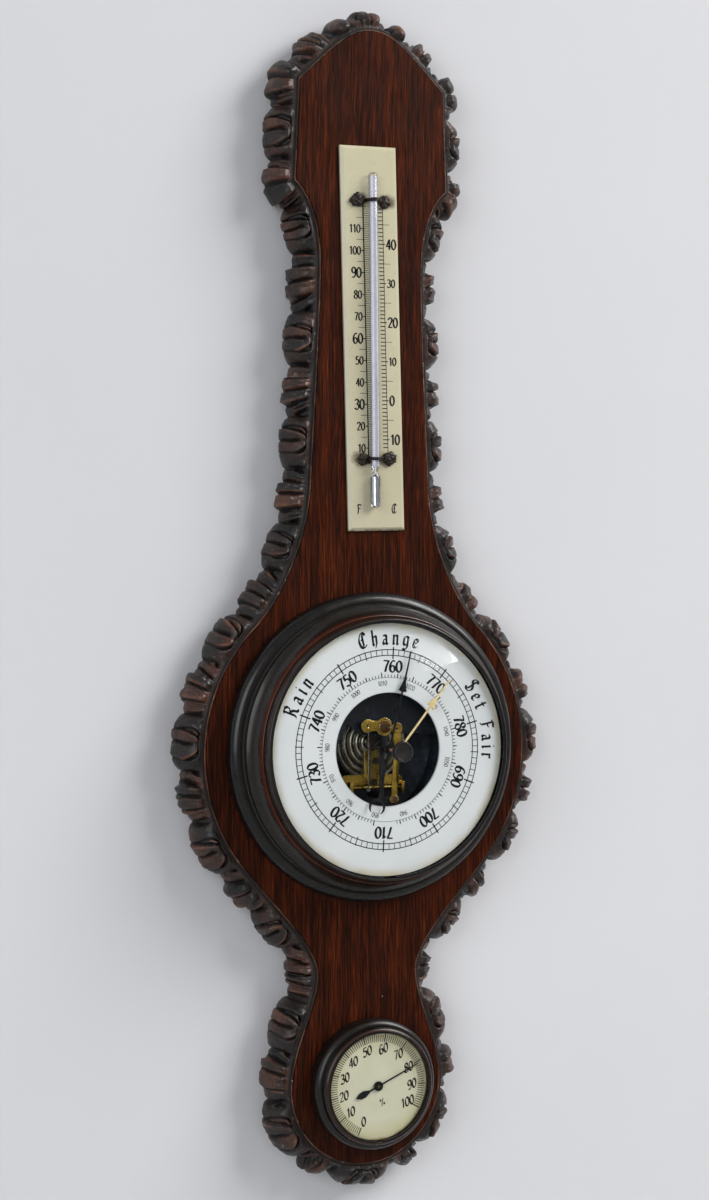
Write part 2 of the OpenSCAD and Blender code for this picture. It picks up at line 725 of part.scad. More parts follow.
// Pressure hand
tail_l = crescent_y - crescent_r + 0.4;
module pressure_hand()
    color(black_metal) front() at_dial() rotate([0, 0, -hand_turn]) difference() {
        union() {
            rod(boss_r, hand_z - 0.2, hand_z + boss_t - 0.2);
            translate([0, 0, hand_z]) linear_extrude(hand_t) {
                arrow_shape(0, hand_tip - hand_arrow, hand_tip, 0.55, 2.5);
                translate([-0.6, -tail_l]) square([1.2, tail_l]);
                translate([0, -crescent_y]) difference() {
                    circle(r = crescent_r);
                    translate([0, -1.5]) circle(r = crescent_r - 0.9);
                    translate([-crescent_r - 1, -2 * crescent_r])
                        square([2 * crescent_r + 2, 1.5 * crescent_r + 0.2]);
                }
            }
        }
        rod(arbor_r, hand_z - 2, hand_z + 3);
    }

// Pinion and sector teeth are plain pointed teeth with room at their roots
tooth_add = 0.8 * tooth_pitch;
tooth_root = 1.15 * tooth_pitch;

function gear_ring(n, pr, i0, i1, shift) = [for (i = [i0 : i1]) for (q = [[-0.26, -tooth_root],
    [-0.19, 0], [-0.06, tooth_add], [0.06, tooth_add], [0.19, 0], [0.26, -tooth_root]])
    let (a = (i + q[0]) * 360 / n + shift, r = pr + q[1]) [r * cos(a), r * sin(a)]];

module hand_arbor()
    color(steel) front() at_dial() {
        rod(pivot_r, bridge_z, hand_z + boss_t);
        rod(arbor_r, bridge_z + plate_t + pass, cock_z - pass);
        rod(arbor_r, cock_z + cock_t + pass, hand_z + boss_t + 0.15);
        translate([0, 0, sector_z - pass]) linear_extrude(sector_t + 2 * pass)
            polygon(gear_ring(pinion_teeth, pinion_pr, 0, pinion_teeth - 1,
                mesh_angle + 180 + 180 / pinion_teeth));
    }

hair_in = arbor_r + 0.05;
hair_out = 4.9;
hair_w = 0.16;
function spiral(turns, r0, r1, n) = [for (i = [0 : turns * n]) let (a = i * 360 / n,
    r = r0 + (r1 - r0) * i / (turns * n)) [r * cos(a), r * sin(a)]];
function back_to_front(list) = [for (i = [len(list) - 1 : -1 : 0]) list[i]];

module hairspring()
    color(steel) front() at_dial(hair_z) linear_extrude(hair_h)
        polygon(concat(spiral(hair_turns, hair_in, hair_out, 20),
            back_to_front(spiral(hair_turns, hair_in + hair_w, hair_out + hair_w, 20))));

// Sector with its arbor and crank pin
first_tooth = -5;
last_tooth = 10;
web_tooth = 3;
rim_w = 1.1;
crank_pin_r = 0.3;
module sector_lever()
    color(black_metal) front() at_dial() translate([sector_x, sector_y, 0]) {
        rod(pivot_r, bridge_z, ear_top);
        rod(arbor_r, bridge_z + plate_t + pass, ear_z - pass);
        translate([crank, 0, 0]) rod(crank_pin_r, sector_z, link_z + link_t + 0.2);
        translate([0, 0, sector_z]) linear_extrude(sector_t) {
            polygon(concat([[0, 0]],
                gear_ring(sector_teeth, sector_pr, first_tooth, last_tooth, mesh_angle),
                arc_points([0, 0], sector_pr - tooth_root - rim_w, tooth_angle(last_tooth),
                    tooth_angle(web_tooth), 6)));
            circle(r = crank + 0.7);
        }
    }

function tooth_angle(i) = mesh_angle + i * 360 / sector_teeth;

link_eye = crank_pin_r + 0.12;
link_low_eye = crank_pin_r + 0.35;

module link_wire()
    color(steel) front() at_dial(link_z) {
        difference() {
            union() {
                translate([crank_x, sector_y, 0]) rod(link_eye + 0.35, 0, link_t);
                translate([crank_x, -rocker_drop, 0]) rod(link_low_eye + 0.4, 0, link_t);
                translate([crank_x - 0.25, -rocker_drop, 0])
                    cube([0.5, rocker_drop + sector_y, link_t]);
            }
            translate([crank_x, sector_y, 0]) rod(link_eye, -1, link_t + 1);
            translate([crank_x, -rocker_drop, 0]) rod(link_low_eye, -1, link_t + 1);
        }
    }

// Rocker: shaft across the movement, a long flat arm and a short upright arm
module rocker_arm()
    color(brass) front() at_dial() translate([0, -rocker_drop, 0]) {
        translate([-shaft_half, 0, arm_z]) rotate([0, 90, 0]) rod(rocker_r, 0, 2 * shaft_half);
        translate([-shaft_half - bracket_t - 0.4, 0, arm_z]) rotate([0, 90, 0])
            rod(rocker_r - 0.35, 0, 2 * (shaft_half + bracket_t + 0.4));
        translate([0, rocker_drop, arm_z - plate_t / 2]) difference() {
            linear_extrude(plate_t) {
                translate(arm_end) circle(r = arm_end_r);
                polygon(concat([arm_end - [arm_end_r, 0]], arm_edge, [arm_end + [arm_end_r, 0]]));
            }
            for (p = arm_screws) translate([p[0], p[1], -1]) rod(arm_screw_r, 0, plate_t + 2);
        }
        translate([crank_x - 0.8, -0.45, arm_z]) cube([1.6, 0.9, link_z - 0.5 - arm_z]);
        translate([crank_x, 0, 0]) rod(crank_pin_r, link_z - 1, link_z + link_t + 0.3);
    }

module rocker_screws()
    color(black_metal) front() at_dial(arm_z + plate_t / 2)
        for (p = arm_screws) translate([p[0], p[1], 0]) difference() {
            union() {
                rod(arm_head_r, 0, 0.8);
                rod(arm_screw_r - 0.02, -plate_t - 0.1, 0.5);
            }
            slot(arm_head_r + 1, 0.4, 0.4, 1.4);
        }

// Bellows, with rings pressed into its cap, and its stud
bellows_in = bellows_r - rib_deep - bellows_wall;
module at_bellows(z) at_dial(z) translate([bellows_x, bellows_y, 0]) children();
function rib_wave(z, deep) = deep * (1 - cos(360 * z / rib_h)) / 2;
function cap_wave(r) = cap_rise * (1 - cos(360 * r / cap_ring)) / 2;

module bellows()
    color("#a98b4a") front() at_bellows(base_top) rotate_extrude() polygon(concat(
        [for (i = [0 : ribs * 8]) let (z = i * rib_h / 8)
            [bellows_in + bellows_wall + rib_wave(z, rib_deep), z]],
        [for (i = [ribs * 8 : -1 : 0]) let (z = i * rib_h / 8)
            [bellows_in + rib_wave(z, rib_deep), z]]));

module bellows_stud()
    color("#a98b4a") front() at_bellows(0) {
        translate([0, 0, bellows_top]) rotate_extrude() polygon(concat(
            [[0, 0], [bellows_r, 0]],
            [for (i = [cap_steps : -1 : 0]) let (r = i * cap_ring / 8) [r, cap_t + cap_wave(r)]]));
        rod(stud_r, bellows_top, stud_top - 0.5);
        translate([0, 0, stud_top - 0.5]) cylinder(r1 = stud_r, r2 = stud_r / 2, h = 0.5);
    }

module movement_base()
    color(black_metal) front() at_dial() difference() {
        rod(base_r, floor_z, base_top);
        rod(adjust_r + running, floor_z - 1, base_top + 1);
        base_screw_places() rod(base_screw_r + running, floor_z - 1, base_top - 0.6);
    }

module base_screw_places()
    for (p = base_screw_at) rotate([0, 0, p[1]]) translate([p[0], 0, 0]) children();

module base_screws()
    color(steel) front() at_dial() base_screw_places() difference() {
        union() {
            rod(base_screw_r, -case_deep, base_top - 0.7);
            rod(base_head_r, -case_deep - base_head_t, -case_deep);
        }
        slot(base_head_r + 1, 0.6, -case_deep - base_head_t - 1, -case_deep - base_head_t + 0.7);
    }

module base_posts()
    color(black_metal) front() at_dial() {
        for (p = post_at) translate([p[0], p[1], 0]) rod(2, base_top, bridge_z);
        translate([foot_at[0], foot_at[1], 0]) {
            rod(1.5, base_top, cock_z);
            rod(foot_pin_r, cock_z, ear_z);
        }
    }

module lower_bridge()
    color(black_metal) front() at_dial() difference() {
        translate([0, 0, bridge_z]) linear_extrude(plate_t) {
            intersection() {
                circle(r = bridge_r);
                polygon(concat([[bridge_r, bridge_r], [-bridge_r, bridge_r], [-bridge_r, 0]],
                    bridge_notch, [[bridge_r, bridge_notch[3][1]]]));
            }
            translate([-2, 0]) square([4, post_at[0][1]]);
            circle(r = 2);
        }
        rod(pivot_r + running, 0, cut_top);
        translate([sector_x, sector_y, 0]) rod(pivot_r + running, 0, cut_top);
    }

module plate_pillars()
    color(brass) front() at_dial() for (p = pillar_at) translate([p[0], p[1], 0])
        rod(pillar_r, bridge_z + plate_t, p == pillar_at[0] ? cock_z : ear_z);

module arbor_cock()
    color(black_metal) front() at_dial() difference() {
        translate([0, 0, cock_z]) linear_extrude(cock_t) {
            circle(r = 1.9);
            translate([-1.5, 0]) square([2.6, pillar_at[0][1] - 2]);
            translate(pillar_at[0]) circle(r = 2.9);
            translate([cock_strip_x, foot_at[1]]) square([cock_strip_w, -foot_at[1]]);
            translate([cock_strip_x, foot_at[1] - 1.5]) square([foot_at[0] - cock_strip_x, 3]);
            translate(foot_at) circle(r = 1.5);
        }
        rod(pivot_r + running, 0, cut_top);
        translate(pillar_at[0]) rod(plate_screw_r, 0, cut_top);
        translate(foot_at) rod(foot_pin_r + 0.02, 0, cut_top);
    }

// Top plates with a star punched round each pivot
ear_r = 3.2;
big_ear_r = 4.3;
split_at = pillar_at[1] + [-2.8, 0];
split_lean = 9;
strip_top_r = 2.9;
strip_half = 1.55;
strip_foot_r = 2.4;
star_r = 1.1;
star_deep = 0.5;

module star_cut()
    translate([0, 0, ear_top - star_deep]) linear_extrude(star_deep + 1)
        polygon([for (i = [0 : 9]) let (a = 36 * i + 18, r = i % 2 == 0 ? star_r : star_r / 2)
            [r * cos(a), r * sin(a)]]);

// What a plate loses on the other plate's side of the slit between them
module beside_split(side)
    translate([split_at[0], split_at[1], ear_z - 1]) rotate([0, 0, -split_lean])
        translate([side > 0 ? -slip / 2 : slip / 2 - 9, -9, 0]) cube([9, 18, plate_t + 2]);

module left_ear_plate()
    color(brass) front() at_dial() difference() {
        translate([0, 0, ear_z]) linear_extrude(plate_t) {
            translate([sector_x, sector_y]) circle(r = ear_r);
            translate(pillar_at[0]) circle(r = big_ear_r);
            translate([sector_x, sector_y - 2.4]) square([pillar_at[0][0] - sector_x, 4.8]);
        }
        translate([sector_x, sector_y, 0]) {
            rod(pivot_r + running, 0, cut_top);
            star_cut();
        }
        translate(pillar_at[0]) rod(plate_screw_r, 0, cut_top);
        beside_split(1);
    }

module right_strip_plate()
    color(brass) front() at_dial() difference() {
        translate([0, 0, ear_z]) linear_extrude(plate_t) {
            translate(pillar_at[1]) circle(r = strip_top_r);
            polygon([pillar_at[1] + [0.1 - strip_top_r, 0], pillar_at[1] + [strip_top_r - 0.1, 0],
                [foot_at[0] + strip_half + 1.4, 2], foot_at + [strip_half, 0],
                foot_at + [-strip_half, 0], [foot_at[0] - strip_half + 1.4, 2]]);
            translate(foot_at) circle(r = strip_foot_r);
        }
        translate(pillar_at[1]) star_cut();
        beside_split(-1);
    }

module plate_screws()
    color(brass) front() at_dial() {
        translate([pillar_at[0][0], pillar_at[0][1], 0]) difference() {
            union() {
                rod(plate_screw_r - running, cock_z, ear_top + 0.3);
                rod(3.1, ear_top, ear_top + 1.1);
            }
            slot(4, 0.5, ear_top + 0.6, cut_top);
        }
        translate([foot_at[0], foot_at[1], 0]) difference() {
            rod(1.8, ear_top, ear_top + 0.9);
            slot(3, 0.4, ear_top + 0.5, cut_top);
        }
    }

module rocker_brackets()
    color(brass) front() at_dial() difference() {
        union() {
            for (s = [-1, 1]) translate([s > 0 ? ear_in : -ear_in - bracket_t,
                -rocker_drop - ear_half, base_top])
                cube([bracket_t, 2 * ear_half, arm_z + ear_rise - base_top]);
            translate([-ear_in, bar_low, bar_z]) cube([2 * ear_in, bar_w, bar_t]);
            translate([-ear_in - bar_reach, bar_low, bar_z])
                cube([bar_reach + 0.1, bar_w - 2, bar_t]);
            translate([-ear_in - bar_reach + 2, bar_low, bar_z]) cube([bar_reach - 1.9, bar_w, bar_t]);
            translate([-ear_in - bar_reach + 2, bar_low + bar_w - 2, 0]) rod(2, bar_z, bar_z + bar_t);
            translate([ear_in - 0.1, bar_low, bar_z]) cube([bar_right + 0.1, bar_w - 1, bar_t]);
            translate([bar_arm_x, bar_low + bar_w - 1, bar_z]) cube([bar_arm_w, 2, bar_arm_z - bar_z]);
            translate([bar_arm_x, bar_low + bar_w - 1, bar_arm_z])
                cube([bar_arm_w, bar_arm_l, bar_t]);
        }
        translate([-ear_in - bracket_t - 1, -rocker_drop, arm_z]) rotate([0, 90, 0])
            rod(rocker_r - 0.35 + running, 0, 2 * (ear_in + bracket_t + 1));
    }

module adjusting_screw()
    color(brass) front() at_dial() difference() {
        union() {
            rod(adjust_r, -case_deep - 1, base_top - 0.4);
            rod(adjust_head_r, -case_deep - adjust_head_t, -case_deep - pass / 2);
        }
        slot(adjust_head_r + 1, 0.9, -case_deep - adjust_head_t - 1, -case_deep - adjust_head_t + 0.9);
    }

module case_drum()
    color(black_metal) front() at_dial() difference() {
        union() {
            rod(case_r, -case_deep, ledge_h + case_wall);
            rod(glass_r, ledge_h, ledge_h + case_wall);
        }
        rod(case_r - case_wall, floor_z, ledge_h + 5);
        rod(adjust_r + 0.5, -case_deep - 1, 0);
        base_screw_places() rod(base_screw_r + running, -case_deep - 1, 0);
    }

module dial_plate()
    color(dial_white) front() at_dial() tube(glass_r, dial_hole_r, dial_low, dial_high);

// Hygrometer
boss_bore = hygro_arbor_r + running;
coil_post_r = 0.8;
module hygrometer_case()
    color(brass) front() at_hygro() {
        difference() {
            rod(cup_r, -cup_deep, cup_top);
            rod(cup_r - cup_wall, -cup_deep + cup_wall, cup_top + 1);
        }
        difference() {
            rod(2.2, -cup_deep + cup_wall / 2, coil_z - pass);
            rod(boss_bore, -cup_deep + 3, coil_z);
        }
        translate([coil_out + coil_t + coil_post_r + slip / 4, 0, 0])
            rod(coil_post_r, -cup_deep + cup_wall / 2, coil_z + coil_h);
    }

module hygrometer_bezel()
    color(black_wood) front() at_hygro() rotate_extrude() polygon(concat(
        [[cup_r + slip, 0], [hygro_r, 0]],
        arc_points([hygro_r - 3, 6], 3, 0, 90, 6),
        [[hygro_r - 3.3, 8.7], [hygro_r - 3.6, 9.2]],
        arc_points([hygro_r - 5, 10.4], 1.9, -20, 75, 5),
        [[hygro_glass_r + slip, hygro_h], [hygro_glass_r + slip, hygro_seat],
            [cup_r + slip, hygro_seat]]));

module hygrometer_dial()
    color(ivory) front() at_hygro() tube(cup_r, 1.6, cup_top, hygro_face);

module hygrometer_glass()
    color(clear_glass) front() at_hygro() difference() {
        intersection() {
            hygro_ball(hygro_ball_r);
            rod(hygro_glass_r, hygro_seat, hygro_seat + 8);
        }
        hygro_ball(hygro_ball_r - hygro_glass_t);
    }

hygro_drop = hygro_ball_r - sqrt(hygro_ball_r * hygro_ball_r - hygro_glass_r * hygro_glass_r);
module hygro_ball(r)
    translate([0, 0, hygro_seat + 1.1 + hygro_drop - hygro_ball_r]) sphere(r = r, $fn = 180);

module hygrometer_snap_ring()
    color(black_metal) front() at_hygro() difference() {
        tube(hygro_glass_r + slip / 2, hygro_glass_r - 0.7, hygro_seat + 1.3, hygro_seat + 1.8);
        translate([-1.5, -hygro_glass_r - 1, hygro_seat]) cube([3, 4, 4]);
    }

module hygrometer_hand()
    color(black_metal) front() at_hygro() rotate([0, 0, -hygro_turn]) difference() {
        union() {
            translate([0, 0, hygro_face + 0.5]) linear_extrude(0.35) {
                polygon([[-0.4, -6], [-0.25, hygro_tip], [0.25, hygro_tip], [0.4, -6]]);
                polygon([[-0.5, -5], [-1.7, -8], [-1.5, -10.5], [0, -13], [1.5, -10.5],
                    [1.7, -8], [0.5, -5]]);
            }
            rod(2.4, hygro_face + 0.4, hygro_face + 1);
        }
        rod(hygro_arbor_r, hygro_face, hygro_face + 2);
    }

module hygrometer_arbor()
    color(brass) front() at_hygro() {
        rod(hygro_arbor_r, -cup_deep + 3.3, hygro_face + 1.4);
        rod(coil_in - 0.1, coil_z, coil_z + coil_h);
    }

module moisture_coil()
    color("#c8a878") front() at_hygro(coil_z) linear_extrude(coil_h)
        polygon(concat(spiral(coil_turns, coil_in, coil_out, 24),
            back_to_front(spiral(coil_turns, coil_in + coil_t, coil_out + coil_t, 24))));

back_board();
carved_head();
carved_neck_right();
carved_neck_left();
carved_lobe_right();
carved_lobe_left();
carved_foot();
hanger_plate();
hanger_screws();
thermometer_plate();
thermometer_tube();
mercury_thread();
thermometer_clips();
clip_screws();
bezel_ring();
bezel_screws();
case_drum();
dial_plate();
glass_seat_ring();
domed_glass();
glass_bush();
glass_snap_ring();
set_knob();
set_hand();
pressure_hand();
hand_arbor();
hairspring();
sector_lever();
link_wire();
rocker_arm();
rocker_screws();
bellows();
bellows_stud();
movement_base();
base_screws();
base_posts();
lower_bridge();
arbor_cock();
left_ear_plate();
right_strip_plate();
plate_pillars();
plate_screws();
rocker_brackets();
adjusting_screw();
hygrometer_case();
hygrometer_bezel();
hygrometer_dial();
hygrometer_glass();
hygrometer_snap_ring();
hygrometer_hand();
hygrometer_arbor();
moisture_coil();
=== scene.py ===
import math
import random
import bpy
import bmesh
import numpy as np
from mathutils import Matrix, Vector


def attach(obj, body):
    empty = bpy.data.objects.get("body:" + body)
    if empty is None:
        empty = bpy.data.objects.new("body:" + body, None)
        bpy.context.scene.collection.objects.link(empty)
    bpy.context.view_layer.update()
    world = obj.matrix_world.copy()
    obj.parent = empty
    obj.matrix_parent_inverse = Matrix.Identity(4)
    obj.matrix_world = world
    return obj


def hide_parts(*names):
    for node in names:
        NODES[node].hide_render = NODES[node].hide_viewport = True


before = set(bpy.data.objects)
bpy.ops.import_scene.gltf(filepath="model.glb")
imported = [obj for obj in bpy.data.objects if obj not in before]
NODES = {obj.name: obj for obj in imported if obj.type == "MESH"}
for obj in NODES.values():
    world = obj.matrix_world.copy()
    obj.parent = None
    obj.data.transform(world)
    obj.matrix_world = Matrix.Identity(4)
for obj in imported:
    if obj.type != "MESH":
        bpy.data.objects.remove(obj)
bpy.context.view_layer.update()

MM = 0.001
BOARD_T = 20.0
HANG_RISE = 300.0
DIAL_X = 0.8
BELLOWS = (DIAL_X - 0.3, 2.2)
CAP_RING = 3.2
HYGRO = (1.5, -165.5)
THERMO_Y = 200.5
PLATE_HALF = 94.25
CLIPS_Y = (67.5, -59.0)
CLIP_SIDES = (-6.8, 7.2)
THERMO_LEAN = math.radians(1.84)
TUBE_LEAN = math.radians(0.94)

# Heights of the printed faces, over the board's front
DIAL_FACE, HYGRO_FACE, PLATE_FACE = 21.24, 9.84, 2.23

# From the front view in mm (x right, y up from the dial's centre, z out of the board) to the frame
FRONT = Matrix(((MM, 0, 0, 0), (0, 0, -MM, -BOARD_T * MM), (0, MM, 0, -HANG_RISE * MM), (0, 0, 0, 1)))
AT_DIAL = Matrix.Translation((DIAL_X, 0, 0))
AT_HYGRO = Matrix.Translation((HYGRO[0], HYGRO[1], 0))
AT_THERMO = Matrix.Translation((0, THERMO_Y, 0)) @ Matrix.Rotation(THERMO_LEAN, 4, "Z")


# Shader building

def linear(code):
    """A colour written as rrggbb, made linear."""
    parts = [int(code[i:i + 2], 16) / 255 for i in (0, 2, 4)]
    return tuple(c / 12.92 if c <= 0.04045 else ((c + 0.055) / 1.055) ** 2.4 for c in parts) + (1.0,)


class Value:
    """One socket of a finish, with maths."""

    def __init__(self, finish, socket):
        self.finish, self.socket = finish, socket

    def __add__(self, other): return self.finish.math("ADD", self, other)

    def __radd__(self, other): return self.finish.math("ADD", other, self)

    def __sub__(self, other): return self.finish.math("SUBTRACT", self, other)

    def __rsub__(self, other): return self.finish.math("SUBTRACT", other, self)

    def __mul__(self, other): return self.finish.math("MULTIPLY", self, other)

    def __rmul__(self, other): return self.finish.math("MULTIPLY", other, self)

    def __truediv__(self, other): return self.finish.math("DIVIDE", self, other)

    def __rtruediv__(self, other): return self.finish.math("DIVIDE", other, self)

    def __pow__(self, other): return self.finish.math("POWER", self, other)

    def __rpow__(self, other): return self.finish.math("POWER", other, self)

    def __getitem__(self, name):
        return Value(self.finish, self.socket.node.outputs[name])


class Finish:
    """A material, and the nodes that paint it."""

    def __init__(self, name, fixed=None):
        self.material = bpy.data.materials.new(name)
        self.material.use_nodes = True
        self.tree = self.material.node_tree
        self.tree.nodes.clear()
        self.shader = self.node("ShaderNodeBsdfPrincipled", inputs=fixed)
        self.out = self.node("ShaderNodeOutputMaterial", inputs={"Surface": self.shader})
        self.place = self.node("ShaderNodeTexCoord")["Object"]

    def node(self, kind, settings=None, inputs=None):
        """Adds a node of a type, with its settings and the values or links of its sockets."""
        made = self.tree.nodes.new(kind)
        for key, value in (settings or {}).items():
            if key == "stops":
                ramp = made.color_ramp
                while len(ramp.elements) < len(value):
                    ramp.elements.new(0.5)
                for element, (position, colour) in zip(ramp.elements, value):
                    element.position = position
                    element.color = linear(colour)
            else:
                setattr(made, key, value)
        for key, value in (inputs or {}).items():
            if isinstance(value, Value):
                self.tree.links.new(value.socket, made.inputs[key])
            else:
                made.inputs[key].default_value = value
        return Value(self, made.outputs[0]) if made.outputs else made

    def math(self, operation, a, b=0.0):
        return self.node("ShaderNodeMath", {"operation": operation}, {0: a, 1: b})

    def clamp(self, value, low=0.0, high=1.0, to_low=0.0, to_high=1.0):
        return self.node("ShaderNodeMapRange", inputs={"Value": value, "From Min": low, "From Max": high,
                                                       "To Min": to_low, "To Max": to_high})

    def mix(self, factor, a, b):
        a, b = (linear(c) if isinstance(c, str) else c for c in (a, b))
        made = self.node("ShaderNodeMix", {"data_type": "RGBA"}, {0: factor, 6: a, 7: b})
        return Value(self, made.socket.node.outputs[2])

    def ramp(self, value, *stops):
        return self.node("ShaderNodeValToRGB", {"stops": stops}, {"Fac": value})

    def noise(self, scale, detail=3.0, where=None, rough=0.5):
        return self.node("ShaderNodeTexNoise", inputs={
            "Vector": where or self.place, "Scale": scale, "Detail": detail, "Roughness": rough})

    def stretch(self, scale):
        return self.node("ShaderNodeMapping", inputs={"Vector": self.place, "Scale": scale})

    def parts(self, where=None):
        xyz = self.node("ShaderNodeSeparateXYZ", inputs={"Vector": where or self.place})
        return xyz["X"], xyz["Y"], xyz["Z"]

    def attribute(self, name):
        return self.node("ShaderNodeAttribute", {"attribute_name": name})["Fac"]

    def bump(self, height, strength, distance):
        return self.node("ShaderNodeBump", inputs={"Height": height, "Strength": strength, "Distance": distance})

    def paint(self, **links):
        for key, value in links.items():
            socket = self.shader.socket.node.inputs[key.replace("_", " ")]
            if isinstance(value, Value):
                self.tree.links.new(value.socket, socket)
            else:
                socket.default_value = value
        return self.material

    def blend(self, factor, a, b):
        """Shows a mix of two shaders in place of the finish's own."""
        mixed = self.node("ShaderNodeMixShader", inputs={0: factor, 1: a, 2: b})
        self.tree.links.new(mixed.socket, self.out.inputs["Surface"])
        return self.material


def radius_from(finish, x, z):
    """Distance in mm from the axis that runs front to back through (x, z) of the front view."""
    px, _, pz = finish.parts()
    dx = px - x * MM
    dz = pz - (z - HANG_RISE) * MM
    return (dx * dx + dz * dz) ** 0.5 / MM


# Finishes

def polished_board():
    f = Finish("polished_rosewood", fixed={"Specular IOR Level": 0.06, "Coat Roughness": 0.25})
    warp = f.noise(9.0, 2.0)
    lean = f.stretch((1.0, 1.0, 0.035))
    x, y, z = f.parts(lean)
    # The grain runs up the board and wavers a little
    bent = f.node("ShaderNodeCombineXYZ", inputs={"X": x + (warp - 0.5) * 0.006, "Y": y * 0.4, "Z": z})
    broad = f.noise(150.0, 3.0, bent, 0.6)
    fine = f.noise(900.0, 4.0, bent, 0.65)
    hair = f.noise(2600.0, 2.0, bent, 0.5)
    streak = f.clamp(broad * 0.22 + fine * 0.44 + hair * 0.34, 0.36, 0.64)
    colour = f.ramp(streak, (0.0, "130602"), (0.28, "230d05"), (0.52, "371507"), (0.76, "4d1e09"), (1.0, "66300f"))
    patch = f.clamp(f.noise(26.0, 2.0, f.stretch((1.0, 1.0, 0.3))), 0.38, 0.62)
    colour = f.mix(0.5 + patch * 0.5, f.mix(0.5, colour, "1c0d09"), colour)
    pore = f.clamp(f.noise(1500.0, 1.0, f.stretch((1.0, 1.0, 0.05))), 0.6, 0.68)
    colour = f.mix(pore * 0.65, colour, "0b0504")
    # The back is bare wood
    back = f.clamp(f.parts()[1], -0.0012, -0.0004)
    raw = f.ramp(fine, (0.3, "3d2618"), (0.7, "6b4a2f"))
    colour = f.mix(back, colour, raw)
    specks = f.clamp(f.node("ShaderNodeTexVoronoi", inputs={"Vector": f.place, "Scale": 105.0})["Distance"],
                     0.02, 0.035, 1.0, 0.0)
    kept = f.clamp(f.noise(37.0, 1.0), 0.62, 0.64)
    colour = f.mix(specks * kept * (1 - back) * 0.7, colour, "b9b2ab")
    dull = f.clamp(f.noise(75.0, 4.0), 0.3, 0.7, 0.3, 0.48)
    rough = dull + back * 0.3
    bump = f.bump(fine * 0.6 + hair * 0.4, 0.25, 0.0002)
    return f.paint(Base_Color=colour, Roughness=rough, Coat_Weight=(1 - back) * 0.06, Normal=bump)


def carved_wood():
    f = Finish("carved_dark_wood", fixed={"Specular IOR Level": 0.35, "Coat Roughness": 0.25})
    hollow, ridge, strip, tone = (f.attribute(n) for n in ("hollow", "ridge", "strip", "tone"))
    cloud = f.noise(70.0, 4.0)
    grain = f.noise(900.0, 3.0, f.stretch((1.0, 1.0, 0.12)))
    shade = f.clamp(cloud * 0.5 + grain * 0.3 + tone * 0.2, 0.34, 0.66)
    red = f.ramp(shade, (0.0, "140c09"), (0.35, "251610"), (0.7, "3a2319"), (1.0, "523225"))
    grey = f.ramp(shade, (0.0, "100c0a"), (0.5, "1f1713"), (1.0, "322720"))
    colour = f.mix(f.clamp(tone * 0.45 + 0.28 + (f.noise(70.0, 4.0) - 0.5) * 2.4, 0.3, 0.75), grey, red)
    # Lighter ridges and bead: worn wood, and a painted highlight on these high points
    worn_and_highlit = f.mix(f.clamp(f.noise(150.0, 3.0), 0.4, 0.7), "6b3926", "8c6c56")
    colour = f.mix(ridge * f.clamp(f.noise(60.0, 3.0), 0.42, 0.6) * 0.75, colour, worn_and_highlit)
    # Painted shade: the grooves and hollows are darkened to near black
    colour = f.mix(f.clamp(hollow, 0.15, 0.8) * 0.96, colour, "050303")
    colour = f.mix(strip * (1 - ridge) * 0.7, colour, f.mix(grain, "130e0c", "2a201b"))
    # Pale flecks: painted glints, strongest along the bead
    pale = f.clamp(f.noise(300.0, 4.0, rough=0.7), 0.62, 0.7)
    colour = f.mix(pale * (1 - hollow) * f.clamp(f.noise(31.0) + strip * ridge * 0.2, 0.5, 0.62) * 0.7,
                   colour, "a79a93")
    rough = f.clamp(f.noise(120.0, 3.0), 0.3, 0.7, 0.3, 0.6) + hollow * 0.3 + strip * 0.15
    bump = f.bump(grain * 0.35 + f.noise(420.0, 5.0, rough=0.6) * 0.65, 0.8, 0.0008)
    coat = (1 - hollow) * (1 - strip * 0.8) * 0.22
    return f.paint(Base_Color=colour, Roughness=rough, Coat_Weight=coat, Normal=bump)


def turned_wood(name, centre, stops, radii):
    """Stained and polished turned wood, coloured in rings."""
    f = Finish(name, fixed={"Specular IOR Level": 0.3, "Coat Roughness": 0.12})
    r = radius_from(f, *centre)
    low, high = radii
    ring = f.ramp(f.clamp(r, low, high), *stops)
    cloud = f.noise(60.0, 4.0)
    colour = f.mix(f.clamp(cloud, 0.4, 0.7) * 0.35, ring, "14100e")
    lines = f.noise(3200.0, 2.0, f.node("ShaderNodeCombineXYZ", inputs={"X": r * MM, "Y": 0.0, "Z": 0.0}))
    colour = f.mix(f.clamp(lines, 0.45, 0.75) * 0.14, colour, "4a3d33")
    dust = f.clamp(f.noise(1500.0, 2.0), 0.72, 0.76) * f.clamp(f.noise(25.0), 0.45, 0.6)
    colour = f.mix(dust * 0.5, colour, "8c8883")
    rough = f.clamp(f.noise(110.0, 3.0), 0.3, 0.7, 0.22, 0.4)
    return f.paint(Base_Color=colour, Roughness=rough, Coat_Weight=0.2,
                   Normal=f.bump(lines * 0.6 + f.noise(500.0, 3.0) * 0.4, 0.18, 0.0002))


def dial_enamel():
    f = Finish("white_dial_paint", fixed={"Specular IOR Level": 0.4})
    r = radius_from(f, DIAL_X, 0)
    colour = f.mix(f.clamp(f.noise(40.0, 4.0), 0.3, 0.7), "d9dbdd", "e1e2e3")
    # A yellowed rim, and shade at the edge of the open centre
    edge = f.clamp(r, 57.0, 61.2) * f.clamp(f.noise(90.0, 3.0), 0.2, 0.6)
    colour = f.mix(edge * 0.8, colour, "c2b489")
    colour = f.mix(f.clamp(r, 28.3, 27.5) * 0.5, colour, "8f9298")
    specks = f.clamp(f.noise(1900.0, 2.0), 0.755, 0.78)
    colour = f.mix(specks * 0.6, colour, "6f6a66")
    return f.paint(Base_Color=colour, Roughness=0.38, Normal=f.bump(f.noise(700.0, 3.0), 0.04, 0.0001))


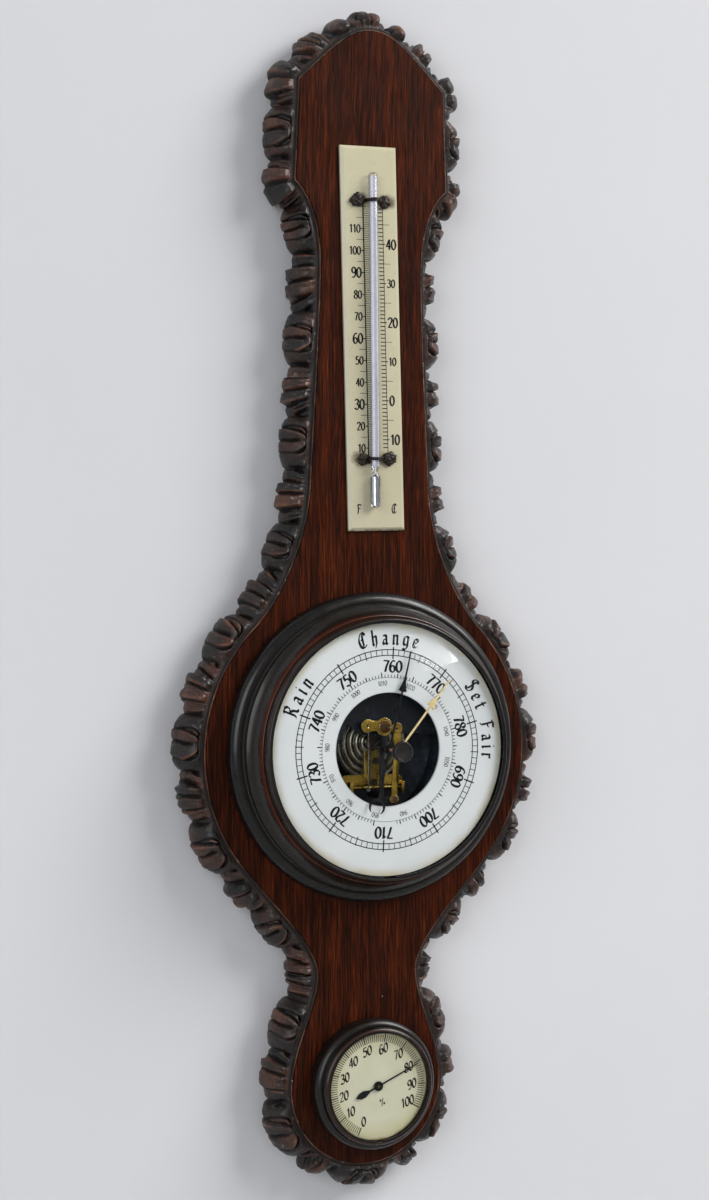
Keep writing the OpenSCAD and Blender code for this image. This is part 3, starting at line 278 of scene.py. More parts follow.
def hygrometer_paper():
    f = Finish("ivory_dial_paint", fixed={"Specular IOR Level": 0.4})
    r = radius_from(f, *HYGRO)
    colour = f.mix(f.clamp(f.noise(70.0, 4.0), 0.3, 0.7), "d3d0ba", "cac5aa")
    colour = f.mix(f.clamp(r, 16.0, 26.0) * 0.6, colour, "c8bf8f")
    colour = f.mix(f.clamp(r + (f.noise(120.0, 3.0) - 0.5) * 3, 25.2, 26.8) * 0.85, colour, "6b5228")
    specks = f.clamp(f.noise(1700.0, 2.0), 0.74, 0.77)
    colour = f.mix(specks * 0.6, colour, "5d4b33")
    return f.paint(Base_Color=colour, Roughness=0.42, Normal=f.bump(f.noise(700.0, 3.0), 0.05, 0.0001))


def plate_ivory():
    f = Finish("aged_ivory_plate", fixed={"Specular IOR Level": 0.5, "Coat Roughness": 0.1})
    colour = f.mix(f.clamp(f.noise(45.0, 4.0), 0.3, 0.7), "b9b397", "c3bda2")
    px, _, pz = f.parts()
    # Paler towards the top
    colour = f.mix(f.clamp(pz, -0.19, -0.01) * 0.35, colour, "c9c5a2")
    # Darker brown round the four clip screws, and painted shade along the plate's lower edge
    blotch = f.noise(330.0, 5.0, rough=0.7)
    for clip_y in CLIPS_Y:
        dz = pz / MM - (THERMO_Y + clip_y - HANG_RISE)
        for side in CLIP_SIDES:
            dx = px / MM - side
            away = (dx * dx * 0.6 + dz * dz) ** 0.5
            near = f.clamp(away, 2.0, 6.5, 1.0, 0.0)
            colour = f.mix(f.clamp(near * (blotch + 0.12), 0.3, 0.62) * 0.8, colour, "4a3c1c")
    # Painted shade along the plate's lower edge
    along = (pz / MM + (HANG_RISE - THERMO_Y)) * math.cos(THERMO_LEAN) - px / MM * math.sin(THERMO_LEAN)
    edge = f.clamp(along, 1.25 - PLATE_HALF, 0.35 - PLATE_HALF)
    colour = f.mix(edge * f.clamp(blotch, 0.35, 0.55) * 0.75, colour, "43351b")
    stain = f.clamp(f.noise(160.0, 5.0, rough=0.7), 0.6, 0.75) * f.clamp(f.noise(20.0), 0.5, 0.7)
    colour = f.mix(stain * 0.5, colour, "8f8456")
    return f.paint(Base_Color=colour, Roughness=f.clamp(blotch, 0.3, 0.7, 0.24, 0.4), Coat_Weight=0.25,
                   Normal=f.bump(f.noise(300.0, 3.0), 0.05, 0.0002))


def metal(name, light, dark, rough, metallic, scale, stain=None, dusty=0.35, streak=(1.0, 1.0, 1.0)):
    """A metal with smudges, fine scratches, filed edges made bright with a painted highlight and, where given,
    stains.
    """
    f = Finish(name, fixed={"Specular IOR Level": 0.5})
    cloud = f.noise(scale, 4.0, rough=0.6)
    scratch = f.noise(scale * 9, 2.0, f.stretch(streak))
    colour = f.mix(f.clamp(cloud * 0.7 + scratch * 0.3, 0.35, 0.65), dark, light)
    if stain:
        colour = f.mix(f.clamp(f.noise(scale * 0.7, 5.0, rough=0.7), 0.55, 0.72) * 0.8, colour, stain)
    dust = f.clamp(f.noise(2600.0, 2.0), 0.72, 0.77)
    colour = f.mix(dust * dusty, colour, "b9b6ae")
    # Painted highlight, near white, on the filed edges
    colour = f.mix(f.attribute("filed") * 0.75, colour, "fff0bc")
    low, high = rough
    return f.paint(Base_Color=colour, Metallic=metallic, Roughness=f.clamp(cloud, 0.3, 0.7, low, high),
                   Normal=f.bump(scratch * 0.5 + cloud * 0.5, 0.12, 0.0002))


def ringed_bellows():
    """Dull metal with painted shade, dark lines in the grooves between the rings that are pressed into the bellows'
    cap.
    """
    f = Finish("gilt_bellows", fixed={"Specular IOR Level": 0.5})
    wave = f.math("SINE", radius_from(f, *BELLOWS) * (math.tau / CAP_RING) - math.pi / 2)
    cloud = f.noise(120.0, 4.0)
    colour = f.mix(f.clamp(cloud, 0.35, 0.65), "a8a18d", "f2ecdc")
    # Painted shade in the grooves between the rings
    colour = f.mix(f.clamp(wave, 0.0, -0.8) * 0.85, colour, "1a140c")
    return f.paint(Base_Color=colour, Metallic=0.85, Roughness=f.clamp(cloud, 0.3, 0.7, 0.16, 0.34),
                   Normal=f.bump(wave * 0.5 + f.noise(800.0, 2.0) * 0.1, 0.5, 0.0006))


def ink(name, colour):
    f = Finish(name, fixed={"Specular IOR Level": 0.3})
    tone = f.mix(f.clamp(f.noise(900.0, 3.0), 0.3, 0.75), colour, "1b1b1f")
    return f.paint(Base_Color=tone, Roughness=0.5)


def pane(name, tint, strength):
    """Thin clear glass: what is behind it, and a sheen that grows towards grazing angles."""
    f = Finish(name)
    f.tree.nodes.remove(f.shader.socket.node)
    clear = f.node("ShaderNodeBsdfTransparent", inputs={"Color": linear(tint)})
    gloss = f.node("ShaderNodeBsdfGlossy", inputs={"Roughness": 0.03})
    sheen = f.node("ShaderNodeLayerWeight", inputs={"Blend": 0.35})["Fresnel"]
    smear = f.clamp(f.noise(35.0, 4.0), 0.3, 0.7, 0.8, 1.1)
    return f.blend(sheen * smear * strength, clear, gloss)


FINISH = {
    "board": polished_board(),
    "carving": carved_wood(),
    # The bezel's rings: the pale stop at 0.655, near 71 mm, is a painted highlight along the inner edge of the base
    # torus
    "bezel": turned_wood("turned_bezel_wood", (DIAL_X, 0),
                         ((0.0, "090706"), (0.06, "150f0c"), (0.19, "22170f"), (0.25, "522010"), (0.28, "15100c"),
                          (0.5, "181511"), (0.62, "12100e"), (0.655, "33322b"), (0.69, "0b0a0a"), (0.8, "070809"),
                          (1.0, "09090b")), (61.5, 76.2)),
    "small_bezel": turned_wood("small_bezel_wood", HYGRO,
                               ((0.0, "1d100b"), (0.22, "3a1e14"), (0.36, "0f0b09"), (0.55, "0d0a08"),
                                (0.75, "15110e"), (1.0, "100d0b")), (26.5, 32.2)),
    "dial": dial_enamel(),
    "hygro_dial": hygrometer_paper(),
    "plate": plate_ivory(),
    "glass": pane("clear_dial_glass", "fdfefe", 0.06),
    "tube_glass": pane("thermometer_glass", "fafaff", 0.8),
    "milk_glass": metal("milk_white_glass", "e9eaee", "e0e1e7", (0.22, 0.3), 0.0, 40.0, dusty=0.0),
    "mercury": metal("mercury_silver", "f2f4f6", "c9cdd2", (0.04, 0.12), 1.0, 120.0),
    "black": metal("black_lacquer", "17181c", "0b0c0f", (0.22, 0.4), 0.3, 120.0),
    "blue_black": metal("blued_steel_plate", "1d242e", "0d1117", (0.25, 0.45), 0.25, 50.0, "474e5a", dusty=0.8),
    "iron": metal("blackened_iron", "2a211b", "0f0c0b", (0.3, 0.6), 0.4, 420.0, "573a26"),
    "drum": metal("dusty_drum", "2c3541", "151a22", (0.4, 0.6), 0.1, 42.0, "565f6e", dusty=0.8),
    # The base plate is painted much paler than the bridge's blued steel: painted light where it lies in shade deep in
    # the case, and dusty
    "base_plate": metal("dust_and_painted_light_base_plate", "6d7684", "444c58", (0.4, 0.6), 0.1, 42.0, "99a1ac", dusty=0.8),
    "steel": metal("bright_steel", "c9ccd0", "8d9096", (0.15, 0.32), 1.0, 200.0),
    "brass": metal("gilt_brass", "d9b551", "9c7a2c", (0.2, 0.34), 1.0, 150.0, dusty=0.1, streak=(1.0, 1.0, 6.0)),
    "old_brass": metal("olive_brass", "9b8440", "695a2c", (0.2, 0.36), 1.0, 140.0, "4a3d20", dusty=0.12),
    "bright_brass": metal("polished_brass", "e8c05c", "a8842f", (0.12, 0.26), 1.0, 160.0),
    "bronze": ringed_bellows(),
    "pale_brass": metal("matt_pale_brass", "e4d09c", "cbb07a", (0.35, 0.5), 0.35, 200.0, dusty=0.1),
    "rose_brass": metal("rose_brass", "d9ae90", "a67c60", (0.18, 0.3), 1.0, 300.0, dusty=0.1),
    "screw_brown": metal("browned_screw", "7c5a34", "4c3520", (0.22, 0.4), 0.9, 200.0, dusty=0.15),
    "coil": metal("coated_coil_strip", "c8a878", "8f7450", (0.4, 0.6), 0.4, 200.0),
    "knob": metal("black_knob", "231e1c", "141110", (0.3, 0.5), 0.1, 200.0, dusty=0.2),
    "ink": ink("black_dial_ink", "0c0c10"),
    "brown_ink": ink("brown_dial_ink", "2a2114"),
}


# Piece building

CASE = "barometer_case"


def add_object(name, data):
    """A new object of the scene."""
    made = bpy.data.objects.new(name, data)
    bpy.context.scene.collection.objects.link(made)
    return made


def mesh_object(name, bm, material):
    mesh = bpy.data.meshes.new(name)
    bm.to_mesh(mesh)
    bm.free()
    mesh.materials.append(material)
    return add_object(name, mesh)


def piece(name, bm, finish, replaces=(), matrix=None, sharp=None, body=CASE, outward=True):
    """Turns a bmesh drawn in the front view into a piece, shaded smooth across edges less sharp than the angle."""
    bm.transform(FRONT @ matrix if matrix else FRONT)
    if outward:
        bmesh.ops.recalc_face_normals(bm, faces=bm.faces)
    made = mesh_object(name, bm, FINISH[finish])
    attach(made, body)
    if replaces:
        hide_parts(*replaces)
    if sharp:
        made.data.shade_smooth()
        made.data.set_sharp_from_angle(angle=math.radians(sharp))
    return made


def spin_profile(profile, steps):
    """A closed ring turned from a profile of (radius, height) points."""
    bm = bmesh.new()
    verts = [bm.verts.new((r, 0, h)) for r, h in profile]
    edges = [bm.edges.new((a, b)) for a, b in zip(verts, verts[1:] + verts[:1])]
    bmesh.ops.spin(bm, geom=verts + edges, cent=(0, 0, 0), axis=(0, 0, 1), angle=math.tau, steps=steps,
                   use_merge=True)
    return bm


def thicken(bm, verts, thick):
    """Gives the flat faces round some points a thickness."""
    faces = list({f for v in verts for f in v.link_faces})
    raised = bmesh.ops.extrude_face_region(bm, geom=faces)["geom"]
    bmesh.ops.translate(bm, verts=[v for v in raised if isinstance(v, bmesh.types.BMVert)], vec=(0, 0, thick))


def arc(cx, cy, r, a0, a1, n):
    """Points of an arc round (cx, cy), from one angle in degrees to the other."""
    return [(cx + r * math.cos(math.radians(a0 + (a1 - a0) * i / n)),
             cy + r * math.sin(math.radians(a0 + (a1 - a0) * i / n))) for i in range(n + 1)]


# The board's outline, as in the part's source

CURVE_STEPS, BOW_STEPS = 70, 90


def curve(a, b, c, d):
    """Points of a curve from a to d, without its last."""
    t = np.linspace(0, 1, CURVE_STEPS, endpoint=False)[:, None]
    a, b, c, d = (np.array(p, float) for p in (a, b, c, d))
    return (1 - t) ** 3 * a + 3 * (1 - t) ** 2 * t * b + 3 * (1 - t) * t * t * c + t ** 3 * d


def bow(cy, r, a0, a1):
    """Points of an arc round (0, cy), without its last."""
    a = np.radians(np.linspace(a0, a1, BOW_STEPS, endpoint=False))
    return np.stack([r * np.cos(a), cy + r * np.sin(a)], 1)


HEAD_LOW, HEAD_TOP, APEX = 275.8, 324.9, 351.6
HEAD_HALF, NECK_TOP, NECK_FOOT, WAIST = 40.1, (26.6, 238.0), (31.0, 132.0), (25.7, -111.0)
LOBE_R, LOBE_Y, FOOT_R, FOOT_Y = 85.0, -2.0, 39.3, -166.0


def turned(cy, r, a, way):
    """A point of an arc round (0, cy), and its direction there."""
    a = math.radians(a)
    return (np.array((r * math.cos(a), cy + r * math.sin(a))), way * np.array((-math.sin(a), math.cos(a))))


def right_edge():
    """The right half of the board's edge, from the apex down to the foot."""
    lobe_in, lobe_in_way = turned(LOBE_Y, LOBE_R, 45, 1)
    lobe_out, lobe_out_way = turned(LOBE_Y, LOBE_R, -36, -1)
    foot_in, _ = turned(FOOT_Y, FOOT_R, 14, 1)
    corner = np.array((HEAD_HALF - 1.9, HEAD_TOP))
    shoulder = corner + (-15.7, 15.1)
    low = np.array((HEAD_HALF, HEAD_LOW))
    neck_top, neck_foot, waist = (np.array(p) for p in (NECK_TOP, NECK_FOOT, WAIST))
    return np.concatenate([
        curve((0, APEX), (9, APEX), shoulder + (-7.5, 6.4), shoulder),
        curve(shoulder, shoulder * 2 / 3 + corner / 3, shoulder / 3 + corner * 2 / 3, corner),
        curve(corner, corner + (0.6, -16), low + (-0.6, 16), low),
        curve(low, low + (-7.1, -5.3), neck_top + (0.4, 18), neck_top),
        curve(neck_top, neck_top + (-0.4, -23), neck_foot + (-0.8, 18), neck_foot),
        curve(neck_foot, neck_foot + (0.4, -29), lobe_in + 20 * lobe_in_way, lobe_in),
        bow(LOBE_Y, LOBE_R, 45, -36),
        curve(lobe_out, lobe_out + 22 * lobe_out_way, waist + (0.5, 16), waist),
        curve(waist, waist + (-0.2, -13), foot_in + (-1.7, 13), foot_in),
        bow(FOOT_Y, FOOT_R, 14, -90),
        [(0, FOOT_Y - FOOT_R)]])


EDGE = right_edge()
EDGE_RUN = np.concatenate([[0], np.cumsum(np.hypot(*np.diff(EDGE, axis=0).T))])
HALF_RUN = EDGE_RUN[-1]
CARVED_TOP = 360
# Heights of the roses' and leaf bunches' middles on one half of the border
ROSES = (300, 255, 200, 149, 96, 50, 3, -45, -84, -138, -185, -206)
LEAVES = (344, 323, 277, 228, 175, 122.5, 70, 26, -22, -66, -111, -160, -199)


def run_at_height(y):
    """Distance along the edge from the apex to a height of the front view."""
    lifted = y - (9 * (y - HEAD_TOP) / (CARVED_TOP - HEAD_TOP) if y > HEAD_TOP else 0)
    return float(np.interp(-lifted, -EDGE[:, 1], EDGE_RUN))


# The carved border. Along it runs s (mm from the apex, negative on the left), across it the section.

STRIP_W, STRIP_DROP, EDGE_DROP = 2.0, 1.3, 12.5
ROSE_HALF, KNOB_HALF, KNOB_S = 12.8, 4.6, 13.0
ROSE_REACH, GAP_REACH = 13.4, 8.6
STATION = 0.5
RELIEF_ROWS = 34
TOP_LIMIT = 360.5


def step(x, low, high):
    """A smooth rise from 0 to 1 between two values."""
    t = np.clip((x - low) / (high - low), 0, 1)
    return t * t * (3 - 2 * t)


def wobble(s, seed):
    """A slow, repeatable waver along the border."""
    return (np.sin(s * 0.31 + seed) + 0.6 * np.sin(s * 0.83 + seed * 2.3) + 0.35 * np.sin(s * 1.9 + seed * 5.1)) / 2


def rose_relief(a, b, tilt, size, seed):
    """A round flower: folded petals on both sides of its mouth, and a smooth petal wrapped round them."""
    x, y = (a - tilt) / size, (b - 6.0) / size
    centre = np.hypot(x - 0.7 * np.sin(seed * 7), (y - 2.6) * 1.05)
    wrap = step(centre, 6.6, 7.2)
    relief, hollow, ridge, tone = (np.zeros_like(a) for _ in range(4))
    widen = 0.7 + 1.35 * np.clip(y + 2.5, 0, 20) ** 0.55
    for side, rings in ((1, (1.15, 2.3)), (-1, (1.75,))):
        disc = np.abs(x) / widen
        level, groove, lip, tint = (np.zeros_like(a) for _ in range(4))
        low = 0.0
        for k, ring in enumerate(rings + (4.5,)):
            part = (disc >= low) & (disc < ring if k < len(rings) else True)
            share = np.clip((disc - low) / (ring - low), 0, 1)
            level = np.where(part, 1.3 - 0.8 * k + 1.1 * share ** 1.5, level)
            tint = np.where(part, 0.5 + 0.5 * np.sin(k * 2.4 + side * 1.3 + seed * 9), tint)
            if k < len(rings):
                groove = np.maximum(groove, np.exp(-(((disc - ring) * widen - 0.3) / 0.42) ** 2))
                lip = np.maximum(lip, np.exp(-(((disc - ring) * widen + 0.8) / 0.6) ** 2))
            low = ring
        inside = x * side >= 0
        relief = np.where(inside, level - 1.9 * groove, relief)
        hollow = np.where(inside, groove, hollow)
        ridge = np.where(inside, lip * (1 - groove), ridge)
        tone = np.where(inside, tint, tone)
    slit = np.exp(-((x + 0.25 * np.sin(y * 0.9 + seed * 4)) / 0.6) ** 2) * step(y, -0.6, 1.6)
    relief, hollow = relief - 2.8 * slit, np.maximum(hollow, slit)
    inner = np.maximum(step(-y - 0.1 * np.abs(x), 1.6, 2.6), wrap)
    rim = np.maximum(np.exp(-((centre - 6.9) / 0.45) ** 2) * step(y, -3.2, -1.5),
                     np.exp(-((-y - 2.1) / 0.5) ** 2) * (1 - wrap))
    petal = 1.1 - 0.9 * step(centre, 8.0, 12.5) + 0.3 * np.sin(x * 0.7 + seed * 5)
    relief = relief * (1 - inner) + petal * inner - 1.3 * rim
    hollow = np.maximum(hollow * (1 - inner), 0.95 * rim)
    tone = tone * (1 - inner) + (0.35 + 0.3 * np.sin(seed * 11)) * inner
    return relief, hollow, ridge * (1 - slit) * (1 - inner), tone


def knob_relief(a, b):
    """A ball that stands in a ring-shaped hollow."""
    d = np.hypot(a, (b - 6.2) * 0.95) / KNOB_HALF
    ball = np.sqrt(np.clip(1 - (d / 0.86) ** 2, 0, 1))
    ditch = np.exp(-((d - 0.95) / 0.1) ** 2)
    return 2.6 * ball - 1.2 * ditch, ditch, ball ** 6, ball * 0.6


def leaf_relief(u, q, lean, seed):
    """A bunch of curled flutes that point outwards, each steep on one side, with a plain slope inside them."""
    spread = u * (1 + 0.35 * (1 - q)) + 1.3 * lean * (q - 0.4) + 0.08 * seed
    way = np.where(np.sin(seed * 17) > 0, 1.0, -1.0)
    relief, hollow, ridge, tone = np.full_like(u, -1.7), np.zeros_like(u), np.zeros_like(u), np.zeros_like(u)
    bounds = (-1.06, -0.56, 0.0, 0.5, 1.06)
    for k, (low, high, level) in enumerate(zip(bounds, bounds[1:], (-1.3, 0.6, 0.45, -1.4))):
        low, high = low + 0.06 * np.sin(seed * 9 + k), high + 0.06 * np.sin(seed * 9 + k + 1)
        t = (spread - (low + high) / 2) / ((high - low) / 2)
        part = (t > -1) & (t <= 1)
        bump = np.clip(1 - np.abs(t) ** 5, 0, 1) ** 0.7 * (0.72 + 0.5 * t * way - 0.14 * np.cos(t * 6 + seed * 3))
        relief = np.where(part, level + 1.5 * bump, relief)
        ridge = np.where(part, np.exp(-((t * way - 0.7) / 0.2) ** 2) * 0.9, ridge)
        tone = np.where(part, 0.5 + 0.5 * np.sin(k * 2.1 + seed * 7), tone)
    reach = step(q, 0.04, 0.42)
    relief = -0.5 + (relief + 0.5) * reach
    for k, line in enumerate(bounds):
        near = np.exp(-((spread - line - 0.06 * np.sin(seed * 9 + k)) / 0.042) ** 2)
        relief = relief - 2.3 * near * reach
        hollow = np.maximum(hollow, near * step(q, 0.06, 0.32))
    return relief, hollow, ridge * (1 - hollow) * step(q, 0.15, 0.55), tone


def motifs():
    """Every rose, knob and leaf bunch down one half of the edge: its middle, limits and kind."""
    marks = sorted([(0.0, "leaf"), (KNOB_S, "knob")] + [(run_at_height(y), "rose") for y in ROSES]
                   + [(run_at_height(y), "leaf") for y in LEAVES])
    half = {"rose": ROSE_HALF, "knob": KNOB_HALF}
    chance = random.Random(11)
    out = []
    for k, (middle, kind) in enumerate(marks):
        ends = []
        for way in (-1, 1):
            near = k + way
            if kind != "leaf":
                ends.append(middle + way * half[kind])
            elif not 0 <= near < len(marks):
                ends.append(-marks[1][0] + half["knob"] if way < 0 else HALF_RUN)
            elif marks[near][1] == "leaf":
                ends.append((middle + marks[near][0]) / 2)
            else:
                ends.append(marks[near][0] - way * half[marks[near][1]])
        out.append((middle, ends[0], ends[1], kind, [chance.uniform(-1, 1) for _ in range(6)]))
    return out


MOTIFS = motifs()

# The whole edge: the left half at negative distances, the right half, and the left half again beyond the foot
FULL_RUN = np.concatenate([-EDGE_RUN[:0:-1], EDGE_RUN, 2 * HALF_RUN - EDGE_RUN[-2::-1]])
FULL_X = np.concatenate([-EDGE[:0:-1, 0], EDGE[:, 0], -EDGE[-2::-1, 0]])
FULL_Y = np.concatenate([EDGE[:0:-1, 1], EDGE[:, 1], EDGE[-2::-1, 1]])


def edge_at(s):
    """The board's edge at a distance along it, both halves."""
    return np.interp(s, FULL_RUN, FULL_X), np.interp(s, FULL_RUN, FULL_Y)


def motif_values(s):
    """The motif at each distance along the border: its kind, two distances from its middle, and its own turns."""
    left = (s < 0) | (s > HALF_RUN)
    run = np.where(s > HALF_RUN, 2 * HALF_RUN - s, np.abs(s))
    kinds, a, u, tilt, lean, size, proud, seed = (np.zeros_like(s) for _ in range(8))
    for middle, low, high, kind, chance in MOTIFS:
        here = (run >= low) & (run <= high)
        kinds = np.where(here, {"leaf": 0, "rose": 1, "knob": 2}[kind], kinds)
        a = np.where(here, middle - run, a)
        u = np.where(here, np.where(run < middle, (middle - run) / max(middle - low, 1),
                                    (middle - run) / max(high - middle, 1)), u)
        pick = [np.where(left, chance[k + 3], chance[k]) for k in range(3)]
        tilt = np.where(here, 0.9 * pick[0], tilt)
        lean = np.where(here, 0.2 * pick[1], lean)
        size = np.where(here, 1 + 0.07 * pick[2], size)
        proud = np.where(here, 0.5 * pick[1], proud)
        seed = np.where(here, pick[2], seed)
    return kinds, a, u, tilt, lean, size, proud, seed


def carve(first, last):
    """Points of one length of the border, with what its finish needs."""
    s = np.linspace(first, last, max(4, round((last - first) / STATION)) + 1)
    px, py = edge_at(s)
    (ax, ay), (cx, cy) = edge_at(s + 3.5), edge_at(s - 3.5)
    tx, ty = ax - cx, ay - cy
    nx, ny = -ty / np.hypot(tx, ty), tx / np.hypot(tx, ty)
    kinds, a, u, tilt, lean, size, proud, seed = motif_values(s)
    rose, knob = kinds == 1, kinds == 2
    swell = np.where(rose, np.sqrt(np.clip(1 - np.abs(a / ROSE_HALF) ** 2.4, 0, 1)),
                     np.where(knob, np.sqrt(np.clip(1 - np.abs(a / KNOB_HALF) ** 2, 0, 1)), 0))
    mid = step(0.54 - np.abs(u + 0.03), 0, 0.07)
    w = np.where(rose, GAP_REACH - 0.6 + (ROSE_REACH + 0.2 - GAP_REACH) * swell,
                 8.6 + 1.2 * step(1.0 - np.abs(u), 0, 0.2) + 2.6 * mid - 0.8 * np.exp(-(u / 0.07) ** 2))
    w = np.where(knob, 7.0 + 2.8 * swell, w - 0.9) + 0.3 * wobble(s * 1.3, 4.0) + proud * (1 - knob)
    full = np.where(kinds > 0, swell, 0.55 * mid + 0.2)
    # Each row holds: across, height, relief across and out, hollow, ridge, strip, tone
    rows = []
    nil = np.zeros_like(s)
    # The beaded strip next to the board
    bead = 0.45 + 0.4 * np.clip(wobble(s * 1.7, 3.0) + 0.4, 0, 1) + 0.15 * wobble(s * 5.1, 1.0)
    for b, h in ((0.0, -0.7), (0.22, -0.36), (0.5, -0.18), (0.78, -0.36), (1.0, -0.8), (1.35, -1.1), (1.7, -1.2)):
        raised = h > -0.6
        rows.append((nil + b, nil - 0.8 + (h + 0.8) * (bead if raised else 1), nil, nil, nil + 0.9 * (b >= 1.0),
                     nil + 0.9 * raised, nil + 1, nil + 0.2))
    # The carved round, from the strip over to the side
    drop = EDGE_DROP - STRIP_DROP
    for q in np.linspace(0, 1, RELIEF_ROWS):
        phi = q * math.pi / 2
        across = math.sin(phi)
        b = STRIP_W + (w - STRIP_W) * across
        round_h = -STRIP_DROP + 0.5 * full * math.sin(math.pi * min(1, across * 1.4)) - drop * (1 - math.cos(phi))
        flat_h = -STRIP_DROP - drop * across ** 1.15
        h = flat_h + (round_h - flat_h) * np.clip(0.35 + 0.65 * full, 0, 1)
        wave = 0.35 * wobble(s * 1.1 + q * 9, 2.2)
        forms = (rose_relief(a + wave, b, tilt, size, seed), knob_relief(a, b),
                 leaf_relief(u + 0.03 * wave, nil + across, lean, seed))
        relief, hollow, ridge, tone = (np.where(rose, forms[0][k], np.where(knob, forms[1][k], forms[2][k]))
                                       for k in range(4))
        cut = np.exp(-((np.abs(a) - ROSE_HALF) / 0.7) ** 2) * rose * step(nil + across, 0.1, 0.5)
        fade = step(b, STRIP_W - 0.3, STRIP_W + 2.0)
        relief, hollow, ridge = (relief * fade - 0.9 * cut) * 0.95, np.maximum(hollow * fade, cut), ridge * fade
        relief = relief + (0.16 * wobble(s * 2.7 + q * 23, 0.4) + 0.12 * wobble(s * 4.9 - q * 31, 1.7)) * fade
        rows.append((b, h, relief * (0.2 + 0.6 * across), relief * (math.cos(phi) + 0.15), hollow, ridge,
                     nil + 1 - float(step(np.array(across), 0.02, 0.16)), tone))
    # The side, and back under the border to the board
    for share, h, keep in ((1.0, -13.4, 1.0), (1.0, -14.6, 0.9), (0.985, -15.8, 0.75), (0.96, -17.0, 0.6),
                           (0.93, -18.2, 0.4), (0.89, -19.2, 0.2), (0.83, -19.9, 0.0), (0.7, -20.0, 0.0),
                           (0.35, -20.0, 0.0), (0.0, -20.0, 0.0)):
        rows.append((w * share, nil + h, relief * keep * 0.8, nil, hollow * (0.4 + 0.6 * keep),
                     ridge * keep * 0.5, nil, tone))
    table = [np.stack([r[k] for r in rows], 1) for k in range(8)]
    b = np.maximum(table[0] + table[2], np.minimum(table[0], 1.7))
    h = np.clip(table[1] + table[3], -BOARD_T, 1.2)
    points = np.stack([px[:, None] + nx[:, None] * b, py[:, None] + ny[:, None] * b, h], 2)
    height = points[..., 1]
    points[..., 1] = np.where(height > TOP_LIMIT, TOP_LIMIT + (height - TOP_LIMIT) * 0.75, height)
    return points, table[4:]


def border_length(name, first, last):
    """One carved length: a grid whose rows go round the section, laid on the carved points."""
    points, marks = carve(first, last)
    columns, rows = points.shape[0], points.shape[1]
    bm = bmesh.new()
    bmesh.ops.create_grid(bm, x_segments=columns - 1, y_segments=rows, size=1.0)
    layers = [bm.verts.layers.float.new(n) for n in ("hollow", "ridge", "strip", "tone")]
    for v in bm.verts:
        i = round((v.co.x + 1) / 2 * (columns - 1))
        j = round((v.co.y + 1) / 2 * rows) % rows
        v.co = points[i, j]
        for layer, mark in zip(layers, marks):
            v[layer] = float(mark[i, j])
    bmesh.ops.remove_doubles(bm, verts=bm.verts, dist=1e-4)
    bmesh.ops.holes_fill(bm, edges=bm.edges, sides=0)
    piece(name + "_relief", bm, "carving", (name,)).data.shade_smooth()


HEAD_END = float(np.interp(-HEAD_LOW, -EDGE[:, 1], EDGE_RUN))
LOBE_START = float(EDGE_RUN[np.argmin(np.hypot(*(EDGE - turned(LOBE_Y, LOBE_R, 45, 1)[0]).T))])
FOOT_START = float(EDGE_RUN[np.argmin(np.hypot(*(EDGE - WAIST).T))])
for name, first, last in (
        ("carved_head", -HEAD_END, HEAD_END), ("carved_neck_right", HEAD_END, LOBE_START),
        ("carved_neck_left", -LOBE_START, -HEAD_END), ("carved_lobe_right", LOBE_START, FOOT_START),
        ("carved_lobe_left", -FOOT_START, -LOBE_START), ("carved_foot", FOOT_START, 2 * HALF_RUN - FOOT_START)):
    border_length(name, first, last)


# Bezels and glass

TURNED_SHARP = 35


def turned_piece(name, profile, place, finish, body=CASE, steps=192):
    piece(name + "_turned", spin_profile(profile, steps), finish, (name,), place, TURNED_SHARP, body)


turned_piece("bezel_ring", [(57.2, 0), (75.6, 0), (76, 0.5)] + arc(71.3, 3.6, 4.7, 0, 88, 20)
             + [(71.2, 8.15), (71.1, 7.7), (70.95, 7.75), (70.6, 8.9), (70.3, 9.35), (69.8, 9.4)]
             + arc(75.4, 19.8, 10.2, 236, 180, 22)
             + [(65.1, 20.35), (64.8, 20.5), (64.5, 20.4), (64.3, 20.3), (64.1, 21.2), (63.8, 22.6), (63.5, 23.6),
                (63.3, 24.15), (63.0, 24.42), (62.6, 24.5), (62.35, 24.4), (62.2, 24.1), (62.2, 24.02),
                (62.9, 24.02), (62.9, 23.2), (62.2, 23.2), (62.2, 19.0), (57.2, 19.0)],
             AT_DIAL, "bezel", steps=256)
turned_piece("hygrometer_bezel", [(26.5, 0), (31.7, 0), (32, 0.4)] + arc(29, 6, 3, 0, 86, 16)
             + [(28.95, 8.85), (28.7, 8.7), (28.5, 8.95)] + arc(27, 10.4, 1.9, -20, 80, 12)
             + [(27.2, 12.75), (27.1, 12.5), (27.1, 11.0), (26.5, 11.0)], AT_HYGRO, "small_bezel")


DOME_RINGS = (16, 12)


def dome(outer_r, thick, centre_h, edge_r, low_h, bore):
    """Profile of a domed glass of one thickness, with a hole of the given radius."""
    inner_r = outer_r - thick
    inner_edge = min(math.sqrt(inner_r ** 2 - (low_h - centre_h) ** 2), edge_r)
    n, m = DOME_RINGS
    front = [bore + (edge_r - bore) * i / n for i in range(n + 1)]
    back = [inner_edge + (bore - inner_edge) * i / m for i in range(m + 1)]
    return [(r, centre_h + math.sqrt(outer_r ** 2 - r * r)) for r in front] + [(edge_r, low_h)] \
        + [(r, centre_h + math.sqrt(inner_r ** 2 - r * r)) for r in back]


